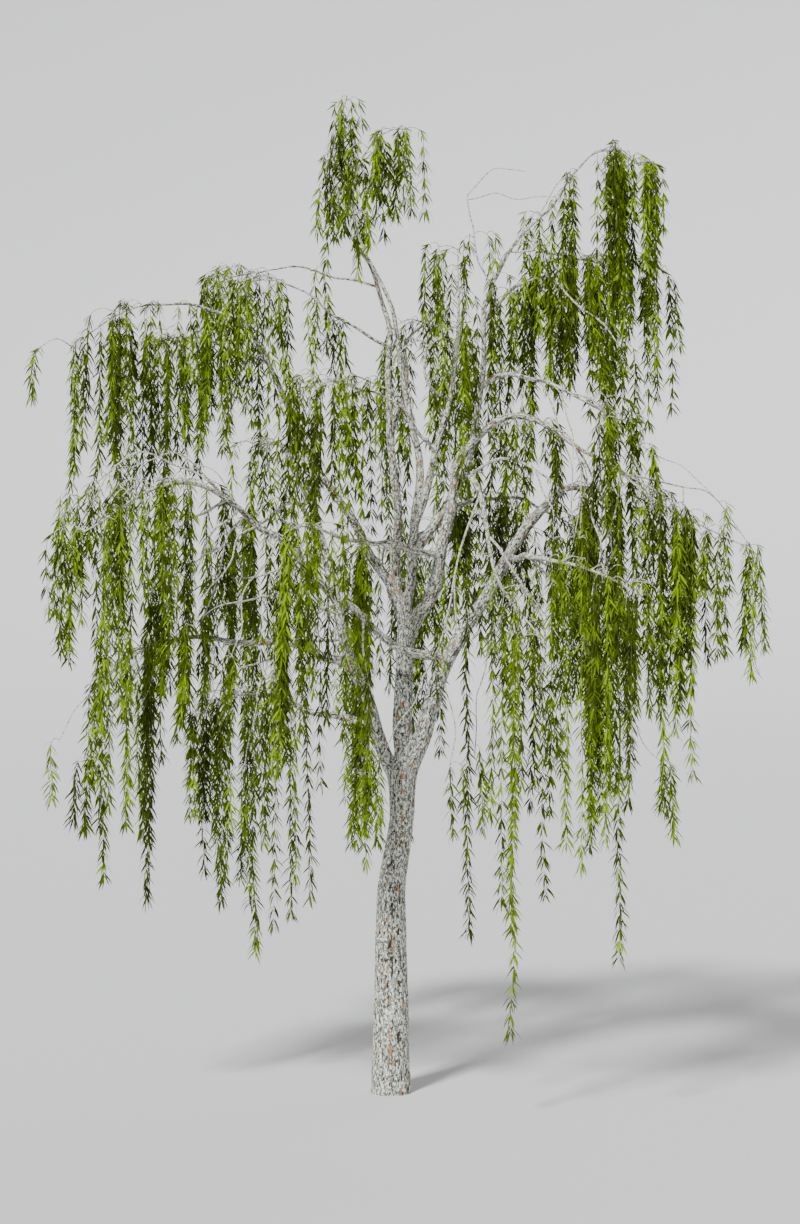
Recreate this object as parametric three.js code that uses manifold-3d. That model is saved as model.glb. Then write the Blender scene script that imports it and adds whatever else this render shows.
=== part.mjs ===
// A weeping willow ten metres tall: a leaning trunk with a flat cut at the ground, its boughs as tapering
// limbs, and a curtain of hanging foliage on every bough that ends.
// Millimetres, +Z up. The origin is the middle of the cut at ground level. The tree is seen from -Y, so
// +X is its right, and a heading runs round from there: 0 right, 90 away, 180 left, 270 towards the viewer.
import * as THREE from "three";
import { mergeVertices } from "three/addons/utils/BufferGeometryUtils.js";
import Module from "manifold-3d";

const wasm = await Module();
wasm.setup();

// Clear space between two pieces that meet, and between the foliage of two curtains.
const SEAT = 0.3;
const FOLIAGE_GAP = 12;

// The trunk: girths are diameters. It tapers evenly to its waist, and moves over by its lean on the way.
const TRUNK = {
  foot: 388,
  flare: 14,
  flareHeight: 160,
  waist: 240,
  waistHeight: 2700,
  neck: 268,
  forkHeight: 3260,
  lean: 110,
  leanFrom: 1900,
  leanTo: 2850,
};

// Each limb grows from another at a share of its length. Its tip is a heading and a reach from the foot of
// the trunk, and a height. It climbs at the first angle where it starts and at the second at its tip, its
// girth goes from the first to the second, full says how round its arch is, and bow how far its middle is
// drawn towards the viewer.
const LIMBS = {
  heart_stem: { from: "trunk", at: 0.95, heading: 0, reach: 150, height: 4560, climb: [88, 88], girth: [206, 165] },
  right_bough: { from: "trunk", at: 0.93, heading: 349, reach: 1673, height: 5960, climb: [70, 45], girth: [196, 84] },
  left_bough: { from: "trunk", at: 0.93, heading: 172, reach: 1040, height: 6400, climb: [62, 66], girth: [150, 68] },
  tall_leader: { from: "heart_stem", at: 0.9, heading: 92, reach: 150, height: 7600, climb: [80, 91], girth: [108, 52] },
  top_leader: { from: "tall_leader", at: 1, heading: 173, reach: 484, height: 8700, climb: [80, 60], girth: [50, 27] },
  pale_leader: {
    from: "heart_stem", at: 0.97, heading: 217, reach: 300, height: 8330, climb: [94, 58], girth: [112, 28], bow: 110,
  },
  middle_bough: { from: "pale_leader", at: 0.3, heading: 338, reach: 691, height: 7310, climb: [68, 78], girth: [88, 38] },
  inner_leader: { from: "pale_leader", at: 0.22, heading: 354, reach: 925, height: 7830, climb: [50, 92], girth: [98, 42] },
  high_bough: { from: "inner_leader", at: 1, heading: 3, reach: 1953, height: 9330, climb: [72, 52], girth: [40, 19] },
  second_high_bough: { from: "inner_leader", at: 0.95, heading: 18, reach: 1983, height: 8420, climb: [45, 10], girth: [36, 18] },
  shelf_bough: { from: "inner_leader", at: 0.7, heading: 345, reach: 1955, height: 6870, climb: [38, -32], girth: [56, 22] },
  arch_stem: { from: "heart_stem", at: 0.97, heading: 341, reach: 677, height: 6230, climb: [60, 86], girth: [150, 90] },
  right_arch: {
    from: "arch_stem", at: 1, heading: 339, reach: 2516, height: 6030, climb: [58, -35], girth: [84, 24], full: 0.55,
  },
  front_bough: { from: "arch_stem", at: 0.97, heading: 316, reach: 1309, height: 5480, climb: [0, -68], girth: [72, 40], full: 0.5 },
  low_cross_bough: { from: "right_bough", at: 0.42, heading: 231, reach: 896, height: 4960, climb: [-4, 34], girth: [104, 46] },
  high_cross_bough: { from: "arch_stem", at: 0.5, heading: 252, reach: 1154, height: 5480, climb: [16, -4], girth: [66, 38] },
  left_rising_bough: { from: "tall_leader", at: 0.16, heading: 167, reach: 1334, height: 7430, climb: [58, 68], girth: [104, 48] },
  left_high_arch: { from: "left_rising_bough", at: 1, heading: 183, reach: 2342, height: 7860, climb: [58, -4], girth: [46, 22], full: 0.5 },
  left_shelf_bough: { from: "left_rising_bough", at: 0.96, heading: 162, reach: 2309, height: 7630, climb: [14, 2], girth: [40, 20] },
  left_hub_bough: { from: "left_bough", at: 0.56, heading: 203, reach: 1792, height: 5930, climb: [44, 30], girth: [84, 50] },
  left_low_bough: { from: "left_bough", at: 0.38, heading: 190, reach: 2236, height: 4510, climb: [14, -12], girth: [98, 34] },
  left_lowest_bough: { from: "left_bough", at: 0.2, heading: 157, reach: 1569, height: 3950, climb: [4, 4], girth: [84, 38] },
  right_stub_bough: { from: "right_bough", at: 0.76, heading: 328, reach: 1681, height: 5320, climb: [2, -8], girth: [72, 46] },
  back_cross_bough: { from: "pale_leader", at: 0.26, heading: 31, reach: 1741, height: 5900, climb: [30, -30], girth: [64, 30] },
  left_top_bough: { from: "tall_leader", at: 0.96, heading: 191, reach: 1079, height: 8060, climb: [18, 26], girth: [34, 18] },
  left_back_top_bough: { from: "top_leader", at: 0.4, heading: 159, reach: 1383, height: 8280, climb: [10, -6], girth: [28, 16] },
  back_left_bough: { from: "left_bough", at: 0.75, heading: 125, reach: 2100, height: 5900, climb: [20, -20], girth: [70, 34] },
  back_bough: { from: "heart_stem", at: 0.6, heading: 92, reach: 1800, height: 5500, climb: [58, 0], girth: [112, 42] },
  back_right_bough: { from: "right_bough", at: 0.5, heading: 48, reach: 2150, height: 5400, climb: [30, -8], girth: [92, 38] },
  back_high_bough: { from: "tall_leader", at: 0.62, heading: 75, reach: 1250, height: 7800, climb: [62, 14], girth: [56, 26] },
  fore_bough: { from: "middle_bough", at: 0.45, heading: 250, reach: 743, height: 6950, climb: [40, 0], girth: [38, 20] },
};

// Each curtain hangs from the bough of its row. Its stem carries the bough on for an out, ending a rise
// above or below the bough's tip and arriving at a climb. Its twigs reach no further than across from the
// stem, and hang for the first length where the stem starts and for the second where it ends.
const CURTAINS = {
  left_tuft: {
    bough: "top_leader", heading: 350, out: 40, rise: 1262, arrive: 75, across: 230, hang: [900, 1300], twigs: 5,
  },
  right_tuft: {
    bough: "pale_leader", heading: 5, out: 400, rise: 1290, arrive: -10, across: 250, hang: [1000, 850], twigs: 5,
  },
  inner_right_curtain: {
    bough: "middle_bough", heading: 15, out: 260, rise: 1080, arrive: -20, across: 360, hang: [1800, 1500], twigs: 5,
  },
  high_right_curtain: {
    bough: "high_bough", heading: 357, out: 560, rise: 40, arrive: -30, across: 400, hang: [2500, 2300], twigs: 6,
  },
  second_high_curtain: {
    bough: "second_high_bough", heading: 20, out: 340, rise: -60, arrive: -30, across: 500, hang: [1700, 1600], twigs: 5,
  },
  shelf_curtain: {
    bough: "shelf_bough", heading: 335, out: 380, rise: -250, arrive: -40, across: 360, hang: [1500, 1200], twigs: 4,
  },
  far_right_curtain: {
    bough: "right_arch", heading: 350, out: 1120, rise: -640, arrive: -30, across: 380, hang: [2700, 1300], twigs: 7,
  },
  front_curtain: {
    bough: "front_bough", heading: 290, out: 900, rise: -1000, arrive: -40, across: 400, hang: [3000, 3250], twigs: 6,
  },
  front_left_curtain: {
    bough: "low_cross_bough", heading: 245, out: 700, rise: 60, arrive: -30, across: 400, hang: [2600, 2700], twigs: 5,
  },
  fore_left_curtain: {
    bough: "high_cross_bough", heading: 232, out: 1000, rise: 40, arrive: -30, across: 380, hang: [2200, 2300], twigs: 5,
  },
  high_left_curtain: {
    bough: "left_high_arch", heading: 184, out: 840, rise: -420, arrive: -30, across: 360, hang: [1700, 1300], twigs: 6,
  },
  left_shelf_curtain: {
    bough: "left_shelf_bough", heading: 175, out: 320, rise: -120, arrive: -30, across: 480, hang: [1800, 1900], twigs: 5,
  },
  left_hub_curtain: {
    bough: "left_hub_bough", heading: 212, out: 1450, rise: -380, arrive: -30, across: 440, hang: [2200, 1500], twigs: 7,
  },
  left_low_curtain: {
    bough: "left_low_bough", heading: 186, out: 740, rise: -450, arrive: -30, across: 400, hang: [2500, 1500], twigs: 6,
  },
  left_lowest_curtain: {
    bough: "left_lowest_bough", heading: 178, out: 320, rise: -120, arrive: -30, across: 500, hang: [2500, 2500], twigs: 6,
  },
  right_stub_curtain: {
    bough: "right_stub_bough", heading: 325, out: 1150, rise: -400, arrive: -30, across: 500, hang: [3300, 3000], twigs: 7,
  },
  back_cross_curtain: {
    bough: "back_cross_bough", heading: 20, out: 620, rise: -300, arrive: -30, across: 500, hang: [2900, 2600], twigs: 5,
  },
  left_top_curtain: {
    bough: "left_top_bough", heading: 190, out: 440, rise: -40, arrive: -30, across: 380, hang: [1100, 1200], twigs: 4,
  },
  left_back_top_curtain: {
    bough: "left_back_top_bough", heading: 165, out: 520, rise: -120, arrive: -30, across: 420, hang: [1900, 1900], twigs: 5,
  },
  back_left_curtain: {
    bough: "back_left_bough", heading: 130, out: 800, rise: -350, arrive: -30, across: 560, hang: [2800, 2400], twigs: 6,
  },
  back_curtain: {
    bough: "back_bough", heading: 92, out: 850, rise: -300, arrive: -30, across: 600, hang: [2800, 2600], twigs: 6,
  },
  back_right_curtain: {
    bough: "back_right_bough", heading: 42, out: 800, rise: -350, arrive: -30, across: 560, hang: [2900, 2600], twigs: 6,
  },
  back_high_curtain: {
    bough: "back_high_bough", heading: 80, out: 800, rise: -200, arrive: -30, across: 560, hang: [2300, 2200], twigs: 6,
  },
  fore_curtain: {
    bough: "fore_bough", heading: 235, out: 800, rise: -60, arrive: -30, across: 380, hang: [1500, 1600], twigs: 5,
  },
  right_curtain: {
    bough: "right_bough", heading: 4, out: 600, rise: -160, arrive: -30, across: 420, hang: [2500, 2500], twigs: 5,
  },
  left_curtain: {
    bough: "left_bough", heading: 178, out: 340, rise: 60, arrive: -30, across: 440, hang: [2200, 2200], twigs: 5,
  },
};

// A twig of a curtain is three-sided. It leaves the stem to one side and the other in turn, rises a little,
// arches over and hangs. Radii and lengths, with shares of the twig's run or of its hang.
const TWIG = { stemEnd: 18, sunk: 5, root: 13, tip: 8, lift: 0.16, over: 0.1, sway: 0.05, shortest: 0.7 };
const SPLAY = { least: 28, most: 100 };
const TURN = 137.5;

// A leaf stands for a spray: they hang round the twig, a turn apart, and one ends it.
const LEAF = {
  length: 540, width: 135, thickness: 24, widest: 0.36, spacing: 640, droop: -56, last: -70, sunk: 4, room: 34, free: 0.3,
};

const LIMB_RING = 520;
const CROOK = 0.022;
const STEM_RINGS = 5;
const ATTEMPTS = 5;

const UP = new THREE.Vector3(0, 0, 1);
const radians = THREE.MathUtils.degToRad;

// A repeatable run of numbers from 0 to 1.
function randomFrom(seed) {
  let state = seed;
  return () => (state = (state * 16807) % 2147483647) / 2147483647;
}

// A unit vector from a heading and a climb above the level, in degrees.
function direction(heading, climb) {
  const level = Math.cos(radians(climb));
  return new THREE.Vector3(
    level * Math.cos(radians(heading)),
    level * Math.sin(radians(heading)),
    Math.sin(radians(climb)),
  );
}

function polar(heading, reach, height) {
  return direction(heading, 0).multiplyScalar(reach).setZ(height);
}

// A closed geometry as a solid to join and cut.
function solidOf(geometry) {
  geometry.deleteAttribute("normal");
  geometry.deleteAttribute("uv");
  const merged = mergeVertices(geometry, 1e-4);
  return new wasm.Manifold(
    new wasm.Mesh({
      numProp: 3,
      vertProperties: merged.attributes.position.array,
      triVerts: new Uint32Array(merged.index.array),
    }),
  );
}

// A cylinder bent along points, one ring of it at each, with a radius for each ring.
function tube(points, radii, sides) {
  const rings = points.length - 1;
  const geometry = new THREE.CylinderGeometry(1, 1, 1, sides, rings);
  const along = points.map((_, i) =>
    points[Math.min(i + 1, rings)].clone().sub(points[Math.max(i - 1, 0)]).normalize(),
  );
  const side = new THREE.Vector3(1, 0, 0).addScaledVector(along[0], -along[0].x).normalize();
  const frames = along.map((tangent) => {
    side.addScaledVector(tangent, -side.dot(tangent)).normalize();
    return { side: side.clone(), other: side.clone().cross(tangent) };
  });
  const place = geometry.attributes.position;
  for (let i = 0; i < place.count; i++) {
    const ring = Math.round((place.getY(i) + 0.5) * rings);
    const moved = points[ring].clone();
    moved.addScaledVector(frames[ring].side, place.getX(i) * radii[ring]);
    moved.addScaledVector(frames[ring].other, place.getZ(i) * radii[ring]);
    place.setXYZ(i, moved.x, moved.y, moved.z);
  }
  return solidOf(geometry);
}

function largest(solid) {
  return solid.decompose().reduce((a, b) => (b.volume() > a.volume() ? b : a));
}

// Moves the two ends of a run of points apart by a distance.
function lengthened(points, by) {
  const ends = points.map((p) => p.clone());
  const last = ends.length - 1;
  ends[0].addScaledVector(points[0].clone().sub(points[1]).normalize(), by);
  ends[last].addScaledVector(points[last].clone().sub(points[last - 1]).normalize(), by);
  return ends;
}

// The middle lines and radii of all that is placed, to keep the rest clear of it.
const placed = [];
const limbs = {};

function lineWithRadius(points, radii) {
  return points.slice(1).map((point, i) => ({
    line: new THREE.Line3(points[i], point),
    radius: Math.max(radii[i], radii[i + 1]),
  }));
}

// True if a run of points, of a radius, keeps clear of all of the others.
function hasRoom(points, radius, others) {
  const line = new THREE.Line3();
  return others.every((other) => {
    const least = radius + other.radius + FOLIAGE_GAP;
    return points.slice(1).every((point, i) => {
      line.set(points[i], point);
      return line.distanceSqToLine3(other.line) > least * least;
    });
  });
}

function addLimb(name, points, radii, sides, cutBy) {
  const cutter = tube(lengthened(points, SEAT), radii.map((r) => r + SEAT), sides);
  let solid = tube(points, radii, sides);
  for (const other of cutBy) solid = solid.subtract(limbs[other].cutter);
  limbs[name] = { name, points, radii, cutter, solid: largest(solid) };
  placed.push(...lineWithRadius(points, radii));
}

function trunkGirth(height) {
  const share = Math.min(height / TRUNK.waistHeight, 1);
  const flare = TRUNK.flare * Math.exp(-height / TRUNK.flareHeight);
  const neck = THREE.MathUtils.smoothstep(height, TRUNK.waistHeight, TRUNK.forkHeight);
  return TRUNK.foot + (TRUNK.waist - TRUNK.foot) * share + flare + (TRUNK.neck - TRUNK.waist) * neck;
}

function growTrunk() {
  const heights = [0, 150, 600, 1300, 1900, 2200, 2550, 2850, 3200, TRUNK.forkHeight];
  const roundedTop = { 3200: 0.9, [TRUNK.forkHeight]: 0.6 };
  const points = heights.map((height) => {
    const lean = TRUNK.lean * THREE.MathUtils.smoothstep(height, TRUNK.leanFrom, TRUNK.leanTo);
    return new THREE.Vector3(lean, 0, height);
  });
  const radii = heights.map((height) => (trunkGirth(height) / 2) * (roundedTop[height] ?? 1));
  addLimb("trunk", points, radii, 14, []);
}

// The point at a share of a run of points, by length.
function pointAt(points, share) {
  const steps = points.slice(1).map((point, i) => point.distanceTo(points[i]));
  let left = share * steps.reduce((a, b) => a + b, 0);
  for (let i = 0; i < steps.length; i++) {
    if (left <= steps[i] || i === steps.length - 1) return points[i].clone().lerp(points[i + 1], left / steps[i]);
    left -= steps[i];
  }
}

// The line of a limb: an arch between its two climbs, a little crooked.
function limbLine(spec, start, number) {
  const tip = polar(spec.heading, spec.reach, spec.height);
  const chord = start.distanceTo(tip);
  const heading = THREE.MathUtils.radToDeg(Math.atan2(tip.y - start.y, tip.x - start.x));
  const handle = chord * (spec.full ?? 0.36);
  const arch = new THREE.CubicBezierCurve3(
    start,
    start.clone().addScaledVector(direction(heading, spec.climb[0]), handle),
    tip.clone().addScaledVector(direction(heading, spec.climb[1]), -handle),
    tip,
  );
  const rings = Math.max(3, Math.round(arch.getLength() / LIMB_RING));
  const aside = direction(heading + 90, 0);
  return arch.getSpacedPoints(rings).map((point, i) => {
    const share = i / rings;
    const bend = chord * CROOK * Math.sin(Math.PI * share);
    point.addScaledVector(aside, bend * Math.sin(2.2 * number + 9 * share));
    point.y -= (spec.bow ?? 0) * Math.sin(Math.PI * share);
    return point.addScaledVector(UP, bend * Math.cos(1.7 * number + 11 * share));
  });
}

function limbSides(girth) {
  if (girth > 130) return 8;
  return girth > 70 ? 6 : 5;
}

function growLimbs() {
  Object.entries(LIMBS).forEach(([name, spec], number) => {
    const parent = limbs[spec.from];
    const points = limbLine(spec, pointAt(parent.points, spec.at), number);
    const [thick, thin] = spec.girth;
    const radii = points.map((_, i) => (thick + (thin - thick) * (i / (points.length - 1))) / 2);
    addLimb(name, points, radii, limbSides(thick), Object.keys(limbs));
  });
}

// A four-faced keeled blade from a root, along a heading and a climb, rolled over by an angle.
function leaf(root, heading, climb, roll) {
  const geometry = new THREE.TetrahedronGeometry(1);
  const place = geometry.attributes.position;
  for (let i = 0; i < place.count; i++) {
    const onKeel = place.getZ(i) > 0;
    const positive = place.getX(i) > 0;
    if (onKeel) place.setXYZ(i, positive ? -LEAF.sunk : LEAF.length, 0, 0);
    else place.setXYZ(i, LEAF.widest * LEAF.length, ((positive ? -1 : 1) * LEAF.width) / 2, LEAF.thickness);
  }
  const forward = direction(heading, climb);
  const flat = direction(heading + 90, 0).applyAxisAngle(forward, radians(roll));
  geometry.applyMatrix4(
    new THREE.Matrix4().makeBasis(forward, flat, forward.clone().cross(flat)).setPosition(root),
  );
  return solidOf(geometry);
}

// The leaves of a twig, from its shoulder down to the one at its foot.
function leavesOf(hanging, random, hasRoomFor) {
  const length = hanging[0].distanceTo(hanging[hanging.length - 1]);
  const levels = Math.max(1, Math.round(length / LEAF.spacing));
  const turn = random() * 360;
  const leaves = [];
  const add = (root, heading, climb) => {
    const forward = direction(heading, climb);
    const line = [0, LEAF.free, 1].map((share) => root.clone().addScaledVector(forward, share * LEAF.length));
    const roll = 90 * random() - 45;
    if (hasRoomFor(line)) leaves.push({ solid: leaf(root, heading, climb, roll), line });
  };
  for (let level = 0; level < levels; level++) {
    add(pointAt(hanging, (level + 0.3) / levels), turn + TURN * level, LEAF.droop);
  }
  add(hanging[hanging.length - 1].clone().addScaledVector(UP, 2 * TWIG.tip), turn, LEAF.last);
  return leaves;
}

// The line of one twig, from the stem, over its shoulder and down.
function twigLine(root, heading, run, hang, sway) {
  const side = direction(heading, 0);
  const shoulder = root.clone().addScaledVector(side, run);
  shoulder.z -= run * TWIG.over;
  const rise = root.clone().addScaledVector(side, run * 0.45);
  rise.z += run * TWIG.lift;
  const bend = shoulder.clone().addScaledVector(side, run * 0.16);
  bend.z -= hang * 0.2;
  const foot = bend.clone().addScaledVector(UP, -hang * 0.8).addScaledVector(side, sway);
  return [root, rise, shoulder, bend, foot];
}

// The stem of a curtain, from the tip of its bough.
function stemOf(spec, bough) {
  const last = bough.points.length - 1;
  const start = bough.points[last];
  const ahead = start.clone().sub(bough.points[last - 1]).normalize();
  const end = start.clone().addScaledVector(direction(spec.heading, 0), spec.out);
  end.z += spec.rise;
  const carry = start.distanceTo(end) * 0.42;
  const points = new THREE.CubicBezierCurve3(
    start,
    start.clone().addScaledVector(ahead, carry),
    end.clone().addScaledVector(direction(spec.heading, spec.arrive), -carry),
    end,
  ).getPoints(STEM_RINGS);
  const radii = points.map((_, i) => THREE.MathUtils.lerp(bough.radii[last], TWIG.stemEnd, i / STEM_RINGS));
  return { points, radii };
}

function growCurtain(spec, number) {
  const bough = limbs[spec.bough];
  const stem = stemOf(spec, bough);
  const floor = new THREE.Line3(stem.points[0].clone().setZ(0), stem.points[STEM_RINGS].clone().setZ(0));
  const nearest = new THREE.Vector3();
  const fits = (point) => {
    const plan = point.clone().setZ(0);
    return floor.closestPointToPoint(plan, true, nearest).distanceTo(plan) < spec.across + LEAF.length / 4;
  };
  const random = randomFrom(1000 + 77 * number);
  const upright = spec.rise > spec.out;
  const pieces = [tube(stem.points, stem.radii, 3)];
  const rising = [];
  const hangingHere = [];
  for (let k = 0; k < spec.twigs; k++) {
    const share = 0.25 + (0.75 * (k + 0.6)) / spec.twigs;
    const root = pointAt(stem.points, share);
    for (let attempt = 0; attempt < ATTEMPTS; attempt++) {
      const splay = THREE.MathUtils.lerp(SPLAY.least, SPLAY.most, random());
      const heading = spec.heading + (upright ? TURN * k + splay : (k % 2 ? 1 : -1) * splay);
      const run = spec.across * THREE.MathUtils.lerp(0.45, 1, random());
      const hang = THREE.MathUtils.lerp(...spec.hang, share) * THREE.MathUtils.lerp(TWIG.shortest, 1, random());
      const line = twigLine(root, heading, run, hang, spec.across * TWIG.sway);
      const hanging = line.slice(2);
      if (!hanging.every(fits)) continue;
      if (!hasRoom(line, TWIG.root, placed) || !hasRoom(hanging, TWIG.root, hangingHere)) continue;
      const radii = line.map((_, i) => THREE.MathUtils.lerp(TWIG.root, TWIG.tip, i / (line.length - 1)));
      radii[0] = TWIG.sunk;
      pieces.push(tube(line, radii, 3));
      rising.push(...lineWithRadius(line.slice(0, 3), radii));
      hangingHere.push(...lineWithRadius(hanging, radii.slice(2)));
      const hasRoomFor = (blade) =>
        fits(blade[2]) && hasRoom(blade, LEAF.room, placed) && hasRoom(blade.slice(1), LEAF.room, hangingHere);
      for (const { solid, line: blade } of leavesOf(hanging, random, hasRoomFor)) {
        pieces.push(solid);
        hangingHere.push(...lineWithRadius(blade.slice(1), [LEAF.room, LEAF.room]));
      }
      break;
    }
  }
  placed.push(...lineWithRadius(stem.points, stem.radii), ...rising, ...hangingHere);
  return largest(wasm.Manifold.union(pieces).subtract(bough.cutter));
}

// A mesh for the scene graph from a finished solid.
function meshOf(name, solid, material) {
  const { numProp, vertProperties, triVerts } = solid.getMesh();
  const place = new Float32Array((vertProperties.length / numProp) * 3);
  for (let i = 0; i < place.length / 3; i++) {
    place.set(vertProperties.subarray(i * numProp, i * numProp + 3), i * 3);
  }
  const geometry = new THREE.BufferGeometry();
  geometry.setAttribute("position", new THREE.BufferAttribute(place, 3));
  geometry.setIndex(new THREE.BufferAttribute(triVerts, 1));
  geometry.computeVertexNormals();
  const mesh = new THREE.Mesh(geometry, material);
  mesh.name = name;
  return mesh;
}

const bark = new THREE.MeshStandardMaterial({ color: 0x9a958a, roughness: 0.9, metalness: 0 });
const foliage = new THREE.MeshStandardMaterial({ color: 0x6f8f1e, roughness: 0.6, metalness: 0 });

const willow = new THREE.Group();
willow.name = "willow";
growTrunk();
growLimbs();
for (const limb of Object.values(limbs)) willow.add(meshOf(limb.name, limb.solid, bark));
Object.entries(CURTAINS).forEach(([name, spec], number) => {
  willow.add(meshOf(name, growCurtain(spec, number), foliage));
});

export default willow;
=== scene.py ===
"""A weeping willow ten metres tall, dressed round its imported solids.

Metres, +Z up, with the origin in the middle of the cut at ground level. The tree is seen from -Y, so +X is
its right, and a heading runs round from there: 0 right, 90 away, 180 left, 270 towards the viewer.
"""

import logging
import math
from dataclasses import dataclass, field
from enum import Enum

import bpy
import numpy as np
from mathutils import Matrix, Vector, noise
from mathutils.bvhtree import BVHTree


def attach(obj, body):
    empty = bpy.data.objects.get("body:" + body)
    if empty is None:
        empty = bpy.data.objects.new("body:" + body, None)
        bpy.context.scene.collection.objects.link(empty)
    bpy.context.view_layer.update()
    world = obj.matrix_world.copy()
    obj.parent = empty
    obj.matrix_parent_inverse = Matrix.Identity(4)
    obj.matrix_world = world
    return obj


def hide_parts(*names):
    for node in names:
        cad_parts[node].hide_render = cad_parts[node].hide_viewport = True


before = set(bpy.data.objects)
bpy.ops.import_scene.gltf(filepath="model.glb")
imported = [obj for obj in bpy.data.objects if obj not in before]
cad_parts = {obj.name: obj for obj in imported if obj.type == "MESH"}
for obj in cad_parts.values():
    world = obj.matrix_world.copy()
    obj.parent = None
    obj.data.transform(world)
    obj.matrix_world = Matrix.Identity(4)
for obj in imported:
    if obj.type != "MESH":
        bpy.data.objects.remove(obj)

log = logging.getLogger("willow")

BODY = "root"
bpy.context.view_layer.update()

Points = np.ndarray
UP = np.array((0.0, 0.0, 1.0))

# The steps of an arch, the fewest rings of a tube, its tip's length in radii, and what counts as nothing.
ARCH_STEPS = 200
FEWEST_RINGS = 3
TIP_LENGTH = 2.0
LEAST_LENGTH = 1e-9
LEAST_TURN = 1e-4


class Slot(Enum):
    """The record's material slots."""

    BARK = "bark"
    FOLIAGE = "foliage"


def direction(heading: float, climb: float) -> Points:
    """A unit vector.

    Args:
        heading: Degrees round from +X.
        climb: Degrees above the level.

    Returns:
        The vector.
    """
    turn = math.radians(heading)
    rise = math.radians(climb)
    return np.array((math.cos(rise) * math.cos(turn), math.cos(rise) * math.sin(turn), math.sin(rise)))


def mix(a: Points, b: Points, share: Points) -> Points:
    """What lies at a share of the way from a to b."""
    return a + (b - a) * share


def smoothstep(value: float, low: float, high: float) -> float:
    """A smooth step from 0 at low to 1 at high."""
    share = min(max((value - low) / (high - low), 0.0), 1.0)
    return share * share * (3 - 2 * share)


def unit(vectors: Points) -> Points:
    """The vectors, each at length one."""
    return vectors / np.maximum(np.linalg.norm(vectors, axis=-1, keepdims=True), LEAST_LENGTH)


def arch(start: Points, leaving: Points, arriving: Points, end: Points) -> Points:
    """A cubic arch.

    Args:
        start: Where it starts.
        leaving: Its handle at the start, from there.
        arriving: Its handle at the end, towards the end.
        end: Where it ends.

    Returns:
        Its points, close together.
    """
    t = np.linspace(0, 1, ARCH_STEPS + 1)[:, None]
    first = start + leaving
    second = end - arriving
    return (1 - t) ** 3 * start + 3 * t * (1 - t) ** 2 * first + 3 * t * t * (1 - t) * second + t**3 * end


def through(knots: list[Points], steps: list[int]) -> Points:
    """A smooth run of points through knots.

    Args:
        knots: The points that it passes.
        steps: How many steps each stretch takes.

    Returns:
        The points, the first and last knot among them.
    """
    ends = [2 * knots[0] - knots[1], *knots, 2 * knots[-1] - knots[-2]]
    run = [knots[0][None]]
    for i, count in enumerate(steps):
        before, a, b, after = ends[i : i + 4]
        t = (np.arange(1, count + 1) / count)[:, None]
        run.append(
            0.5
            * (
                2 * a
                + (b - before) * t
                + (2 * before - 5 * a + 4 * b - after) * t**2
                + (3 * a - before - 3 * b + after) * t**3
            )
        )
    return np.concatenate(run)


@dataclass
class Path:
    """A run of points that is read by length."""

    points: Points
    marks: Points = field(init=False)
    length: float = field(init=False)

    def __post_init__(self) -> None:
        """Measures it."""
        steps = np.linalg.norm(np.diff(self.points, axis=0), axis=1)
        self.marks = np.concatenate(([0.0], np.cumsum(steps)))
        self.length = float(self.marks[-1])

    def at(self, share: float | Points) -> Points:
        """The point, or points, at a share of its length."""
        where = np.clip(share, 0, 1) * self.length
        return np.stack([np.interp(where, self.marks, self.points[:, axis]) for axis in range(3)], axis=-1)

    def even(self, steps: int) -> "Path":
        """The same path in steps of even length."""
        return Path(self.at(np.linspace(0, 1, steps + 1)))

    def ahead(self) -> Points:
        """Which way it runs at each point."""
        return unit(np.gradient(self.points, axis=0))


@dataclass(frozen=True)
class LimbRow:
    """How a limb grows.

    It leaves its source at a share of that one's length. Its tip is a heading and a reach from the foot of
    the trunk, and a height. It climbs at the first angle where it starts and at the second at its tip, and
    its girth goes from the first to the second. full says how round its arch is, and bow how far its middle
    is drawn towards the viewer.
    """

    source: str
    at: float
    heading: float
    reach: float
    height: float
    climb: tuple[float, float]
    girth: tuple[float, float]
    full: float = 0.36
    bow: float = 0.0


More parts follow.
